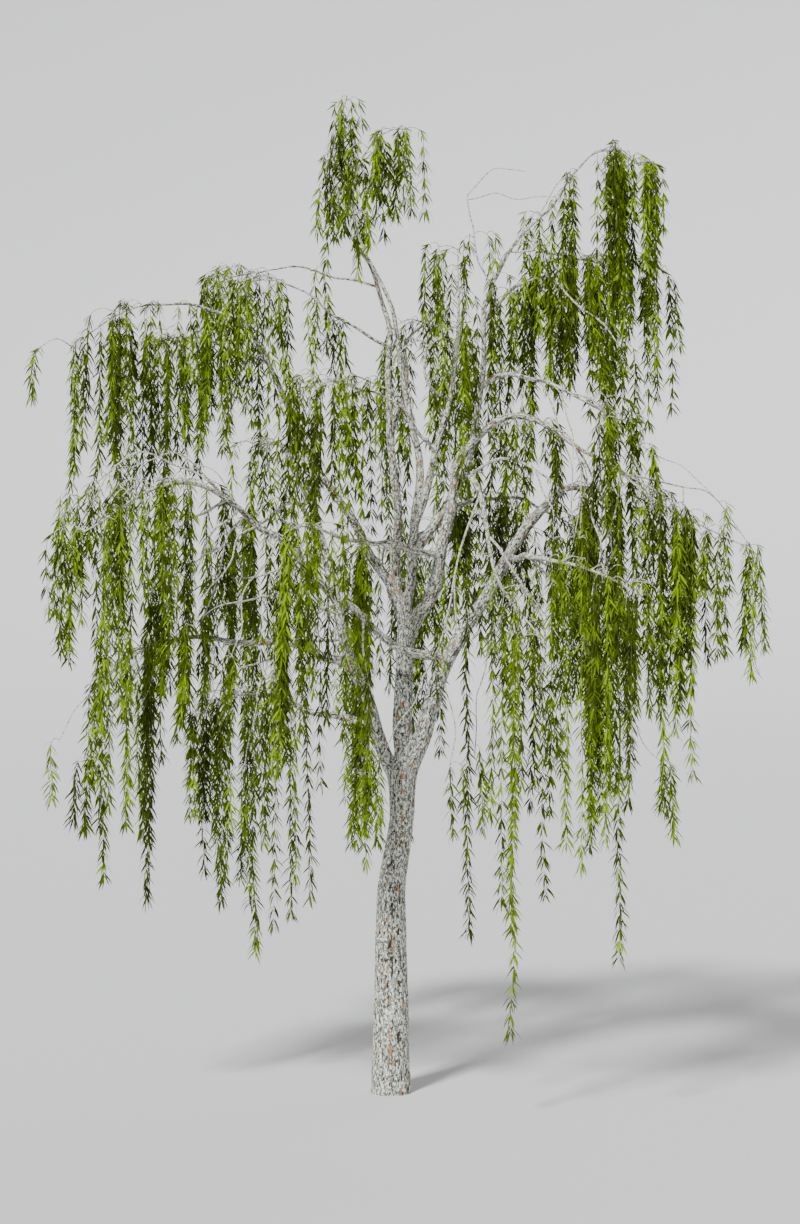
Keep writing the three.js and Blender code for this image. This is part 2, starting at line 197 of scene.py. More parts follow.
LIMBS = {
    "heart_stem": LimbRow("trunk", 0.95, 0, 0.150, 4.560, (88, 88), (0.206, 0.165)),
    "right_bough": LimbRow("trunk", 0.93, 349, 1.673, 5.960, (70, 45), (0.196, 0.084)),
    "left_bough": LimbRow("trunk", 0.93, 172, 1.040, 6.400, (62, 66), (0.150, 0.068)),
    "tall_leader": LimbRow("heart_stem", 0.9, 92, 0.150, 7.600, (80, 91), (0.108, 0.052)),
    "top_leader": LimbRow("tall_leader", 1, 173, 0.484, 8.700, (80, 60), (0.050, 0.027)),
    "pale_leader": LimbRow("heart_stem", 0.97, 217, 0.300, 8.330, (94, 58), (0.112, 0.028), bow=0.110),
    "middle_bough": LimbRow("pale_leader", 0.3, 338, 0.691, 7.310, (68, 78), (0.088, 0.038)),
    "inner_leader": LimbRow("pale_leader", 0.22, 354, 0.925, 7.830, (50, 92), (0.098, 0.042)),
    "high_bough": LimbRow("inner_leader", 1, 3, 1.953, 9.330, (72, 52), (0.040, 0.019)),
    "second_high_bough": LimbRow("inner_leader", 0.95, 18, 1.983, 8.420, (45, 10), (0.036, 0.018)),
    "shelf_bough": LimbRow("inner_leader", 0.7, 345, 1.955, 6.870, (38, -32), (0.056, 0.022)),
    "arch_stem": LimbRow("heart_stem", 0.97, 341, 0.677, 6.230, (60, 86), (0.150, 0.090)),
    "right_arch": LimbRow("arch_stem", 1, 339, 2.516, 6.030, (58, -35), (0.084, 0.024), full=0.55),
    "front_bough": LimbRow("arch_stem", 0.97, 316, 1.309, 5.480, (0, -68), (0.072, 0.040), full=0.5),
    "low_cross_bough": LimbRow("right_bough", 0.42, 231, 0.896, 4.960, (-4, 34), (0.104, 0.046)),
    "high_cross_bough": LimbRow("arch_stem", 0.5, 252, 1.154, 5.480, (16, -4), (0.066, 0.038)),
    "left_rising_bough": LimbRow("tall_leader", 0.16, 167, 1.334, 7.430, (58, 68), (0.104, 0.048)),
    "left_high_arch": LimbRow("left_rising_bough", 1, 183, 2.342, 7.860, (58, -4), (0.046, 0.022), full=0.5),
    "left_shelf_bough": LimbRow("left_rising_bough", 0.96, 162, 2.309, 7.630, (14, 2), (0.040, 0.020)),
    "left_hub_bough": LimbRow("left_bough", 0.56, 203, 1.792, 5.930, (44, 30), (0.084, 0.050)),
    "left_low_bough": LimbRow("left_bough", 0.38, 190, 2.236, 4.510, (14, -12), (0.098, 0.034)),
    "left_lowest_bough": LimbRow("left_bough", 0.2, 157, 1.569, 3.950, (4, 4), (0.084, 0.038)),
    "right_stub_bough": LimbRow("right_bough", 0.76, 328, 1.681, 5.320, (2, -8), (0.072, 0.046)),
    "back_cross_bough": LimbRow("pale_leader", 0.26, 31, 1.741, 5.900, (30, -30), (0.064, 0.030)),
    "left_top_bough": LimbRow("tall_leader", 0.96, 191, 1.079, 8.060, (18, 26), (0.034, 0.018)),
    "left_back_top_bough": LimbRow("top_leader", 0.4, 159, 1.383, 8.280, (10, -6), (0.028, 0.016)),
    "back_left_bough": LimbRow("left_bough", 0.75, 125, 2.100, 5.900, (20, -20), (0.070, 0.034)),
    "back_bough": LimbRow("heart_stem", 0.6, 92, 1.800, 5.500, (58, 0), (0.112, 0.042)),
    "back_right_bough": LimbRow("right_bough", 0.5, 48, 2.150, 5.400, (30, -8), (0.092, 0.038)),
    "back_high_bough": LimbRow("tall_leader", 0.62, 75, 1.250, 7.800, (62, 14), (0.056, 0.026)),
    "fore_bough": LimbRow("middle_bough", 0.45, 250, 0.743, 6.950, (40, 0), (0.038, 0.020)),
}


@dataclass(frozen=True)
class CurtainRow:
    """How a curtain of foliage hangs from its bough.

    Its stem carries the bough on for an out, ending a rise above or below the bough's tip and arriving at a
    climb. Its strands reach no further than across from the stem, and hang for the first length where the
    stem starts and for the second where it ends. full says how many strands it has beside the others, and
    early how far they crowd towards the stem's start.
    """

    bough: str
    heading: float
    out: float
    rise: float
    arrive: float
    across: float
    hang: tuple[float, float]
    twigs: int
    full: float = 1.0
    early: float = 1.0


CURTAINS = {
    "left_tuft": CurtainRow("top_leader", 350, 0.04, 1.262, 75, 0.14, (-0.3, 0.6), 5, 0.62),
    "right_tuft": CurtainRow("pale_leader", 5, 0.44, 1.26, -10, 0.22, (0.15, 0.5), 5, 1.4, 0.5),
    "inner_right_curtain": CurtainRow("middle_bough", 80, 0.30, 1.08, -20, 0.28, (1.6, 1.3), 5, 0.34),
    "high_right_curtain": CurtainRow("high_bough", 357, 0.54, -0.05, -30, 0.35, (2.2, 0.9), 6, 0.85),
    "second_high_curtain": CurtainRow("second_high_bough", 20, 0.34, -0.06, -30, 0.42, (1.6, 0.8), 5),
    "shelf_curtain": CurtainRow("shelf_bough", 335, 0.38, -0.25, -40, 0.34, (1.3, 1.0), 4, 0.6),
    "far_right_curtain": CurtainRow("right_arch", 350, 1.12, -0.64, -30, 0.32, (2.1, 1.1), 7, 0.5, 1.6),
    "front_curtain": CurtainRow("front_bough", 300, 1.0, -1.0, -40, 0.27, (2.3, 2.8), 6, 0.38),
    "front_left_curtain": CurtainRow("low_cross_bough", 245, 0.7, 0.06, -30, 0.4, (2.3, 2.2), 5, 0.48),
    "fore_left_curtain": CurtainRow("high_cross_bough", 232, 1.0, 0.04, -30, 0.38, (2.2, 2.2), 5, 0.5),
    "high_left_curtain": CurtainRow("left_high_arch", 184, 0.84, -0.42, -30, 0.36, (1.6, 1.25), 6, 0.7),
    "left_shelf_curtain": CurtainRow("left_shelf_bough", 175, 0.32, -0.12, -30, 0.48, (1.6, 1.6), 5, 0.5),
    "left_hub_curtain": CurtainRow("left_hub_bough", 212, 1.45, -0.38, -30, 0.42, (2.2, 1.4), 7, 0.72, 0.9),
    "left_low_curtain": CurtainRow("left_low_bough", 186, 0.74, -0.45, -30, 0.4, (2.1, 1.0), 6, 0.5),
    "left_lowest_curtain": CurtainRow("left_lowest_bough", 178, 0.32, -0.12, -30, 0.5, (1.6, 1.4), 6, 0.55),
    "right_stub_curtain": CurtainRow(
        "right_stub_bough", 325, 1.15, -0.4, -30, 0.38, (2.5, 2.3), 7, 0.48, 1.1
    ),
    "back_cross_curtain": CurtainRow("back_cross_bough", 20, 0.62, -0.3, -30, 0.5, (2.1, 1.7), 5, 0.7),
    "left_top_curtain": CurtainRow("left_top_bough", 172, 0.44, -0.04, -30, 0.38, (1.1, 1.2), 4, 0.8),
    "left_back_top_curtain": CurtainRow(
        "left_back_top_bough", 165, 0.52, -0.12, -30, 0.42, (1.8, 1.7), 5, 0.6
    ),
    "back_left_curtain": CurtainRow("back_left_bough", 130, 0.8, -0.35, -30, 0.56, (2.7, 2.3), 6, 0.62),
    "back_curtain": CurtainRow("back_bough", 92, 0.85, -0.3, -30, 0.6, (2.8, 2.6), 6, 0.9),
    "back_right_curtain": CurtainRow("back_right_bough", 42, 0.8, -0.35, -30, 0.56, (1.7, 1.6), 6, 0.55),
    "back_high_curtain": CurtainRow("back_high_bough", 80, 0.8, -0.2, -30, 0.56, (2.3, 2.2), 6, 0.8),
    "fore_curtain": CurtainRow("fore_bough", 235, 0.8, -0.06, -30, 0.38, (1.5, 1.6), 5),
    "right_curtain": CurtainRow("right_bough", 4, 0.6, -0.16, -30, 0.42, (2.0, 1.8), 5, 0.65),
    "left_curtain": CurtainRow("left_bough", 178, 0.34, 0.06, -30, 0.44, (2.1, 2.1), 5, 0.5),
}


@dataclass(frozen=True)
class Eye:
    """Where the photograph is taken from, in metres: in front of the trunk, right of it and above ground."""

    distance: float = 24.0
    right: float = 0.09
    height: float = 4.8


EYE = Eye()


def seen(right: float, height: float, depth: float) -> tuple[float, float, float]:
    """Where a tip stands that is read off the photograph, where a pixel is ten millimetres at the trunk.

    Args:
        right: How far right of the eye it looks, in metres.
        height: How high above ground it looks, in metres.
        depth: How far behind the trunk it is taken to be, in metres, negative in front of it.

    Returns:
        Its heading in degrees, and its reach and height in metres.
    """
    share = (EYE.distance + depth) / EYE.distance
    across = EYE.right + right * share
    up = EYE.height + (height - EYE.height) * share
    return math.degrees(math.atan2(depth, across)), math.hypot(across, depth), up


# Thin limbs that grow on by the same rule, from a limb or from another of them.
FINE_LIMBS = {
    "high_side_twig": LimbRow("high_bough", 0.34, 358, 1.86, 8.30, (0, -25), (0.022, 0.012)),
    "arching_side_bough": LimbRow("second_high_bough", 0.4, 350, 2.30, 7.40, (20, -48), (0.030, 0.012)),
    "upright_twig": LimbRow("high_bough", 0.12, *seen(0.67, 8.96, 0), (70, 92), (0.020, 0.012)),
    "upright_arch": LimbRow("upright_twig", 1, 0, 1.34, 9.20, (55, -10), (0.012, 0.007), full=0.5),
    "upright_side": LimbRow("upright_twig", 0.96, *seen(1.52, 8.95, 0.1), (10, -4), (0.012, 0.007)),
    "high_top_twig": LimbRow("high_bough", 0.55, *seen(1.78, 9.16, 0.1), (45, 0), (0.014, 0.008)),
    "inner_top_twig": LimbRow("inner_leader", 0.93, *seen(1.27, 8.49, 0), (70, 0), (0.016, 0.009)),
    "shelf_reach": LimbRow("shelf_bough", 0.9, *seen(2.40, 6.47, -0.6), (-15, -40), (0.022, 0.009)),
    "shelf_drop": LimbRow("shelf_bough", 0.45, 337, 1.39, 6.55, (-60, -75), (0.018, 0.009)),
    "far_reach": LimbRow("right_arch", 0.93, 351, 3.55, 5.45, (-5, -55), (0.020, 0.008), full=0.5),
    "left_edge_reach": LimbRow("left_hub_bough", 0.98, 190, 3.20, 5.75, (48, -60), (0.022, 0.008), full=0.5),
    "crossing_droop": LimbRow("front_bough", 0.55, 266.5, 1.30, 3.42, (-70, -52), (0.026, 0.010)),
    "crossing_drop": LimbRow("crossing_droop", 0.3, *seen(0.50, 3.27, -1.1), (-75, -88), (0.016, 0.008)),
    "right_droop": LimbRow("front_bough", 0.95, 323, 1.84, 3.77, (-35, -88), (0.030, 0.011)),
    "right_droop_side": LimbRow("right_droop", 0.35, *seen(1.75, 4.42, -1.0), (-35, -30), (0.018, 0.009)),
    "inner_droop": LimbRow("right_droop", 0.3, 312, 1.21, 3.42, (-60, -89), (0.018, 0.009)),
    "cross_droop": LimbRow("low_cross_bough", 0.98, 253, 0.835, 3.22, (-20, -80), (0.028, 0.011)),
    "cross_side_droop": LimbRow("low_cross_bough", 0.9, *seen(-1.00, 4.52, -0.8), (10, -60), (0.020, 0.009)),
    "hub_cross": LimbRow("left_bough", 0.52, *seen(-2.00, 4.70, -0.9), (15, -48), (0.032, 0.010)),
    "hub_cross_low": LimbRow("left_bough", 0.45, *seen(-1.95, 3.77, -1.0), (-5, -68), (0.030, 0.010)),
    "hub_cross_drop": LimbRow("hub_cross", 0.4, *seen(-1.25, 4.02, -1.0), (-60, -85), (0.018, 0.008)),
    "hub_cross_drop_two": LimbRow("hub_cross_low", 0.5, 218, 1.75, 3.30, (-60, -85), (0.016, 0.008)),
    "hub_droop": LimbRow("left_hub_bough", 0.95, 199.7, 2.37, 5.06, (-10, -85), (0.030, 0.012)),
    "hub_fall": LimbRow("left_hub_bough", 0.8, 200.2, 2.02, 4.62, (-50, -60), (0.024, 0.011)),
    "left_reach": LimbRow("left_hub_bough", 0.35, 187.7, 2.25, 4.87, (-18, -30), (0.022, 0.010)),
    "stub_fall": LimbRow("right_stub_bough", 0.7, 336, 2.05, 4.55, (-30, -75), (0.026, 0.011)),
    "stub_fall_side": LimbRow("stub_fall", 0.4, *seen(1.95, 4.02, -0.9), (-45, -85), (0.016, 0.008)),
    "shelf_fall": LimbRow("shelf_bough", 0.55, 338, 1.95, 5.55, (-40, -78), (0.022, 0.010)),
    "arch_fall": LimbRow("right_arch", 0.62, 346, 2.25, 4.95, (-30, -80), (0.024, 0.010)),
    "arch_fall_side": LimbRow("right_arch", 0.8, 344, 2.15, 5.30, (-50, -80), (0.020, 0.009)),
    "middle_reach": LimbRow("middle_bough", 0.95, 337.7, 0.76, 7.76, (75, 80), (0.034, 0.018)),
    "middle_hook": LimbRow("middle_bough", 0.75, 311, 0.53, 7.43, (20, 85), (0.034, 0.022), full=0.5),
    "middle_hook_left": LimbRow("middle_hook", 1, *seen(-0.18, 7.14, -0.6), (40, -35), (0.020, 0.008)),
    "middle_hook_right": LimbRow("middle_hook", 0.96, 327.5, 0.93, 7.64, (40, 5), (0.020, 0.010)),
    "middle_hook_up": LimbRow("middle_hook", 0.9, 324.6, 0.69, 7.75, (55, 65), (0.014, 0.008)),
    "fore_high_arc": LimbRow(
        "fore_bough", 0.5, *seen(-0.80, 7.02, -0.85), (48, -35), (0.022, 0.009), full=0.5
    ),
    "fore_far_arc": LimbRow("fore_bough", 0.95, 233.1, 1.126, 6.6, (8, -60), (0.020, 0.009)),
    "cross_right": LimbRow("arch_stem", 0.9, 335.2, 1.95, 5.88, (42, -38), (0.040, 0.014), full=0.5),
    "cross_right_drop": LimbRow("cross_right", 0.6, 331.2, 1.79, 5.49, (-10, -88), (0.020, 0.009)),
    "hub_high_web": LimbRow(
        "left_hub_bough", 0.98, *seen(-2.69, 6.24, -0.9), (50, -30), (0.020, 0.008), full=0.5
    ),
    "hub_top_web": LimbRow("left_hub_bough", 0.9, *seen(-2.32, 6.41, -0.7), (70, 10), (0.014, 0.007)),
    "hub_fore_fall": LimbRow("left_hub_bough", 0.85, *seen(-2.26, 4.86, -1.1), (-35, -60), (0.024, 0.010)),
    "hub_fore_fall_two": LimbRow("left_hub_bough", 0.7, *seen(-2.06, 4.66, -1.2), (-30, -65), (0.024, 0.010)),
    "hub_fore_fall_three": LimbRow(
        "left_hub_bough", 0.55, *seen(-1.69, 4.35, -1.3), (-35, -70), (0.024, 0.010)
    ),
    "hub_fore_drop": LimbRow("left_hub_bough", 0.5, *seen(-1.23, 4.15, -1.2), (-60, -88), (0.016, 0.008)),
    "hub_middle_web": LimbRow("hub_fall", 0.3, *seen(-2.54, 4.92, -1.1), (-15, -50), (0.016, 0.008)),
    "hub_cross_low_drop": LimbRow("hub_cross", 0.15, *seen(-1.14, 4.35, -1.0), (-20, -70), (0.016, 0.008)),
    "left_edge_web": LimbRow("left_edge_reach", 0.5, *seen(-3.29, 5.49, -1.1), (-20, -65), (0.014, 0.007)),
    "left_far_web": LimbRow("left_low_bough", 0.98, *seen(-3.40, 3.52, -1.0), (-5, -50), (0.020, 0.008)),
    "left_far_web_two": LimbRow("left_low_bough", 0.95, *seen(-3.03, 3.32, -1.0), (-30, -65), (0.024, 0.010)),
    "left_far_web_three": LimbRow(
        "left_low_bough", 0.96, *seen(-2.71, 3.52, -0.9), (-50, -80), (0.016, 0.008)
    ),
    "shelf_far_reach": LimbRow("shelf_reach", 1, *seen(3.18, 5.90, -0.7), (-35, -50), (0.010, 0.007)),
    "shelf_web": LimbRow("shelf_bough", 0.68, *seen(1.73, 6.33, -0.7), (-25, -75), (0.018, 0.008)),
    "shelf_web_long": LimbRow("shelf_bough", 0.85, *seen(2.66, 5.62, -0.8), (-20, -65), (0.022, 0.009)),
    "arch_web": LimbRow("right_arch", 0.72, *seen(1.79, 5.53, -1.0), (-60, -85), (0.018, 0.008)),
    "arch_far_web": LimbRow("right_arch", 0.9, *seen(3.07, 5.34, -1.0), (-20, -60), (0.022, 0.009)),
    "arch_middle_fall": LimbRow("right_arch", 0.55, 332.4, 1.98, 5.47, (-5, -105), (0.022, 0.009), full=0.5),
    "arch_edge_fall": LimbRow("right_arch", 0.97, *seen(3.20, 4.96, -0.8), (-45, -42), (0.018, 0.007)),
    "far_web": LimbRow("far_reach", 0.4, *seen(2.88, 5.34, -0.9), (-50, -70), (0.014, 0.007)),
    "long_fall": LimbRow("right_arch", 0.78, *seen(1.92, 4.12, -1.3), (-80, -88), (0.024, 0.009)),
    "arch_front_fall": LimbRow("right_arch", 0.93, *seen(2.02, 5.07, -1.15), (-88, -100), (0.018, 0.008)),
    "droop_fall": LimbRow("right_droop", 0.5, *seen(1.45, 3.37, -1.25), (-80, -85), (0.016, 0.008)),
    "droop_side": LimbRow("right_droop", 0.75, *seen(1.77, 3.80, -1.25), (-50, -80), (0.014, 0.007)),
    "droop_rise": LimbRow("right_droop", 0.45, *seen(1.57, 5.20, -1.15), (85, 80), (0.014, 0.008)),
    "stub_far_fall": LimbRow("stub_fall", 0.95, *seen(2.62, 3.30, -1.2), (-55, -45), (0.014, 0.007)),
}


@dataclass(frozen=True)
class TasselRow:
    """A few strands on one side twig of a limb or of a curtain's stem.

    The twig leaves it at a share of its length, along a heading, and goes out by a run before it hangs.
    """

    limb: str
    at: float
    heading: float
    run: float
    hang: float
    shoots: int


TASSELS = (
    TasselRow("left_tuft", 1.00, 200, 0.05, 0.6, 0),
    TasselRow("left_tuft", 0.97, 20, 0.06, 0.8, 1),
    TasselRow("left_tuft", 0.88, 280, 0.07, 0.9, 0),
    TasselRow("left_back_top_bough", 0.55, 260, 0.08, 0.8, 1),
    TasselRow("inner_right_curtain", 0.80, 190, 0.18, 0.9, 1),
    TasselRow("inner_right_curtain", 0.95, 170, 0.14, 0.8, 0),
    TasselRow("far_right_curtain", 0.50, 280, 0.12, 2.5, 1),
    TasselRow("high_bough", 0.72, 250, 0.12, 1.9, 1),
    TasselRow("high_bough", 0.86, 280, 0.15, 2.1, 1),
    TasselRow("high_bough", 0.93, 90, 0.20, 2.0, 1),
    TasselRow("high_right_curtain", 0.95, 355, 0.16, 2.2, 1),
    TasselRow("high_right_curtain", 1.00, 320, 0.10, 1.4, 1),
    TasselRow("high_right_curtain", 1.00, 0, 0.20, 0.7, 1),
    TasselRow("second_high_curtain", 1.00, 0, 0.62, 0.8, 2),
    TasselRow("second_high_curtain", 1.00, 350, 0.58, 1.5, 1),
    TasselRow("second_high_curtain", 1.00, 340, 0.36, 1.7, 2),
    TasselRow("high_right_curtain", 0.90, 5, 0.12, 1.7, 0),
    TasselRow("high_bough", 0.60, 120, 0.20, 1.2, 2),
    TasselRow("high_side_twig", 0.70, 70, 0.15, 1.2, 3),
    TasselRow("high_side_twig", 1.00, 330, 0.20, 1.3, 3),
    TasselRow("second_high_bough", 0.20, 110, 0.22, 1.3, 3),
    TasselRow("second_high_bough", 0.30, 80, 0.25, 1.2, 2),
    TasselRow("second_high_bough", 0.45, 80, 0.20, 1.5, 3),
    TasselRow("second_high_bough", 0.60, 100, 0.20, 1.4, 3),
    TasselRow("second_high_bough", 0.72, 110, 0.22, 1.9, 3),
    TasselRow("arching_side_bough", 0.45, 90, 0.20, 1.1, 3),
    TasselRow("arching_side_bough", 0.80, 80, 0.20, 1.2, 1),
    TasselRow("arching_side_bough", 1.00, 320, 0.15, 1.0, 1),
    TasselRow("right_arch", 0.38, 250, 0.10, 0.6, 1),
    TasselRow("right_arch", 0.56, 280, 0.12, 0.8, 1),
    TasselRow("shelf_bough", 0.15, 90, 0.15, 0.9, 1),
    TasselRow("middle_bough", 0.90, 130, 0.20, 0.8, 2),
    TasselRow("left_high_arch", 0.50, 80, 0.20, 1.4, 1),
    TasselRow("left_high_arch", 0.62, 90, 0.20, 1.4, 1),
    TasselRow("left_high_arch", 0.80, 100, 0.20, 1.3, 1),
    TasselRow("left_high_arch", 0.96, 200, 0.15, 0.7, 2),
    TasselRow("left_shelf_bough", 0.85, 80, 0.25, 1.4, 3),
    TasselRow("left_shelf_bough", 0.95, 100, 0.20, 1.2, 3),
    TasselRow("left_hub_curtain", 0.12, 100, 0.25, 2.1, 3),
    TasselRow("left_hub_curtain", 0.25, 130, 0.25, 2.0, 3),
    TasselRow("left_hub_curtain", 1.00, 200, 0.30, 0.8, 0),
    TasselRow("high_left_curtain", 1.00, 186, 0.32, 0.5, 0),
    TasselRow("low_cross_bough", 0.72, 290, 0.12, 2.1, 1),
    TasselRow("left_top_bough", 0.45, 100, 0.12, 0.8, 2),
    TasselRow("left_top_bough", 0.70, 100, 0.15, 0.9, 2),
    TasselRow("crossing_droop", 0.55, 240, 0.08, 0.5, 1),
    TasselRow("crossing_droop", 1.00, 250, 0.08, 0.6, 2),
    TasselRow("right_droop", 0.80, 300, 0.10, 0.8, 0),
    TasselRow("right_droop", 1.00, 330, 0.10, 0.5, 0),
    TasselRow("inner_droop", 0.95, 300, 0.08, 0.8, 0),
    TasselRow("cross_droop", 0.55, 200, 0.10, 0.9, 2),
    TasselRow("cross_droop", 1.00, 250, 0.10, 0.9, 3),
    TasselRow("hub_droop", 1.00, 220, 0.12, 1.0, 2),
    TasselRow("hub_fall", 1.00, 200, 0.12, 1.1, 2),
    TasselRow("left_reach", 0.60, 250, 0.12, 1.0, 2),
    TasselRow("left_reach", 1.00, 190, 0.15, 1.2, 3),
    TasselRow("stub_fall", 1.00, 330, 0.12, 1.4, 3),
    TasselRow("shelf_fall", 1.00, 330, 0.12, 1.1, 3),
    TasselRow("arch_fall", 1.00, 340, 0.12, 1.2, 3),
    TasselRow("left_lowest_bough", 0.97, 270, 0.12, 2.6, 1),
    TasselRow("left_lowest_bough", 0.84, 300, 0.12, 2.4, 0),
    TasselRow("left_lowest_bough", 0.68, 280, 0.14, 2.2, 1),
    TasselRow("left_lowest_bough", 0.50, 260, 0.14, 1.9, 1),
    TasselRow("left_lowest_curtain", 0.90, 250, 0.12, 2.0, 0),
    TasselRow("left_low_curtain", 0.15, 250, 0.10, 2.5, 1),
    TasselRow("right_stub_curtain", 0.30, 280, 0.10, 2.7, 0),
    TasselRow("right_stub_curtain", 0.70, 300, 0.10, 3.6, 0),
    TasselRow("front_curtain", 0.45, 300, 0.10, 4.2, 0),
    TasselRow("front_curtain", 0.15, 200, 0.22, 3.6, 0),
    TasselRow("upright_twig", 0.55, 200, 0.10, 0.6, 1),
    TasselRow("upright_twig", 0.60, 10, 0.14, 0.7, 1),
    TasselRow("inner_top_twig", 0.50, 250, 0.10, 0.8, 1),
    TasselRow("inner_top_twig", 1.00, 0, 0.10, 0.9, 2),
    TasselRow("shelf_reach", 0.60, 280, 0.12, 1.0, 2),
    TasselRow("shelf_reach", 1.00, 340, 0.10, 0.9, 2),
    TasselRow("far_reach", 0.75, 250, 0.10, 1.4, 0),
    TasselRow("far_reach", 1.00, 350, 0.08, 1.0, 0),
    TasselRow("left_edge_reach", 0.80, 250, 0.10, 0.7, 1),
    TasselRow("left_edge_reach", 1.00, 190, 0.08, 0.5, 0),
    TasselRow("crossing_drop", 1.00, 270, 0.06, 0.7, 1),
    TasselRow("right_droop_side", 1.00, 330, 0.10, 0.9, 1),
    TasselRow("hub_cross", 1.00, 205, 0.10, 1.3, 2),
    TasselRow("hub_cross_low", 1.00, 210, 0.10, 1.0, 2),
    TasselRow("hub_cross_drop", 1.00, 250, 0.08, 1.0, 1),
    TasselRow("hub_cross_drop_two", 1.00, 250, 0.08, 0.8, 1),
    TasselRow("stub_fall_side", 1.00, 300, 0.08, 1.2, 2),
    TasselRow("arch_fall_side", 1.00, 300, 0.08, 1.2, 2),
    TasselRow("middle_hook_left", 1.00, 250, 0.10, 0.8, 1),
    TasselRow("middle_hook_right", 1.00, 100, 0.10, 0.6, 0),
    TasselRow("fore_high_arc", 0.60, 250, 0.10, 0.9, 1),
    TasselRow("fore_high_arc", 1.00, 240, 0.10, 1.0, 1),
    TasselRow("fore_far_arc", 1.00, 240, 0.10, 1.0, 1),
    TasselRow("cross_right", 1.00, 340, 0.10, 0.9, 1),
    TasselRow("cross_right_drop", 1.00, 300, 0.08, 0.8, 1),
    TasselRow("hub_high_web", 1.00, 200, 0.10, 0.8, 1),
    TasselRow("hub_fore_fall", 1.00, 200, 0.08, 0.8, 1),
    TasselRow("hub_fore_fall_two", 1.00, 210, 0.08, 0.9, 1),
    TasselRow("hub_fore_fall_three", 1.00, 220, 0.08, 0.9, 1),
    TasselRow("hub_fore_drop", 1.00, 240, 0.08, 0.8, 1),
    TasselRow("left_far_web", 1.00, 200, 0.08, 0.6, 0),
    TasselRow("left_far_web_two", 1.00, 200, 0.08, 0.7, 1),
    TasselRow("shelf_far_reach", 1.00, 340, 0.08, 0.9, 0),
    TasselRow("shelf_web", 1.00, 330, 0.08, 0.8, 0),
    TasselRow("shelf_web_long", 1.00, 340, 0.08, 0.9, 1),
    TasselRow("arch_web", 1.00, 320, 0.08, 0.8, 1),
    TasselRow("arch_far_web", 1.00, 340, 0.08, 0.8, 0),
    TasselRow("long_fall", 1.00, 320, 0.08, 0.8, 1),
    TasselRow("stub_far_fall", 1.00, 330, 0.08, 0.7, 1),
    TasselRow("back_cross_bough", 0.20, 100, 0.30, 1.0, 2),
    TasselRow("back_cross_bough", 0.30, 280, 0.20, 1.1, 3),
    TasselRow("back_cross_bough", 0.42, 90, 0.30, 1.4, 3),
    TasselRow("back_cross_bough", 0.52, 300, 0.25, 1.2, 3),
    TasselRow("back_cross_bough", 0.62, 110, 0.30, 1.6, 3),
    TasselRow("back_cross_bough", 0.74, 290, 0.25, 1.5, 3),
    TasselRow("back_cross_bough", 0.88, 120, 0.30, 1.9, 3),
    TasselRow("back_bough", 0.55, 30, 0.35, 1.2, 3),
    TasselRow("back_bough", 0.75, 20, 0.40, 1.6, 3),
    TasselRow("back_bough", 0.90, 160, 0.40, 1.8, 3),
    TasselRow("right_arch", 0.20, 70, 0.30, 1.3, 3),
    TasselRow("right_arch", 0.35, 80, 0.30, 1.6, 3),
    TasselRow("right_arch", 0.50, 70, 0.30, 1.6, 3),
    TasselRow("right_bough", 0.70, 80, 0.30, 1.2, 2),
    TasselRow("right_bough", 0.85, 85, 0.30, 1.5, 2),
    TasselRow("right_bough", 0.95, 280, 0.20, 1.5, 1),
    TasselRow("far_right_curtain", 0.15, 300, 0.16, 2.0, 2),
    TasselRow("far_right_curtain", 0.32, 290, 0.16, 1.8, 2),
    TasselRow("far_right_curtain", 0.42, 60, 0.25, 1.7, 3),
    TasselRow("far_right_curtain", 0.20, 70, 0.25, 2.0, 3),
    TasselRow("left_edge_reach", 1.00, 250, 0.10, 1.3, 2),
    TasselRow("left_edge_reach", 0.90, 220, 0.14, 1.5, 2),
    TasselRow("left_edge_web", 1.00, 200, 0.08, 1.1, 1),
    TasselRow("left_edge_reach", 0.72, 80, 0.20, 1.7, 3),
)


@dataclass
class Reading:
    """What the wood's surface is like from some places, one row for each place.

    It holds the gap to the surface, the way out, where the place is on the bark, the radius of the limb, and
    how clear of a fork it is, from 0 to 1.
    """

    gap: Points
    outward: Points
    bark: Points
    stout: Points
    clear: Points


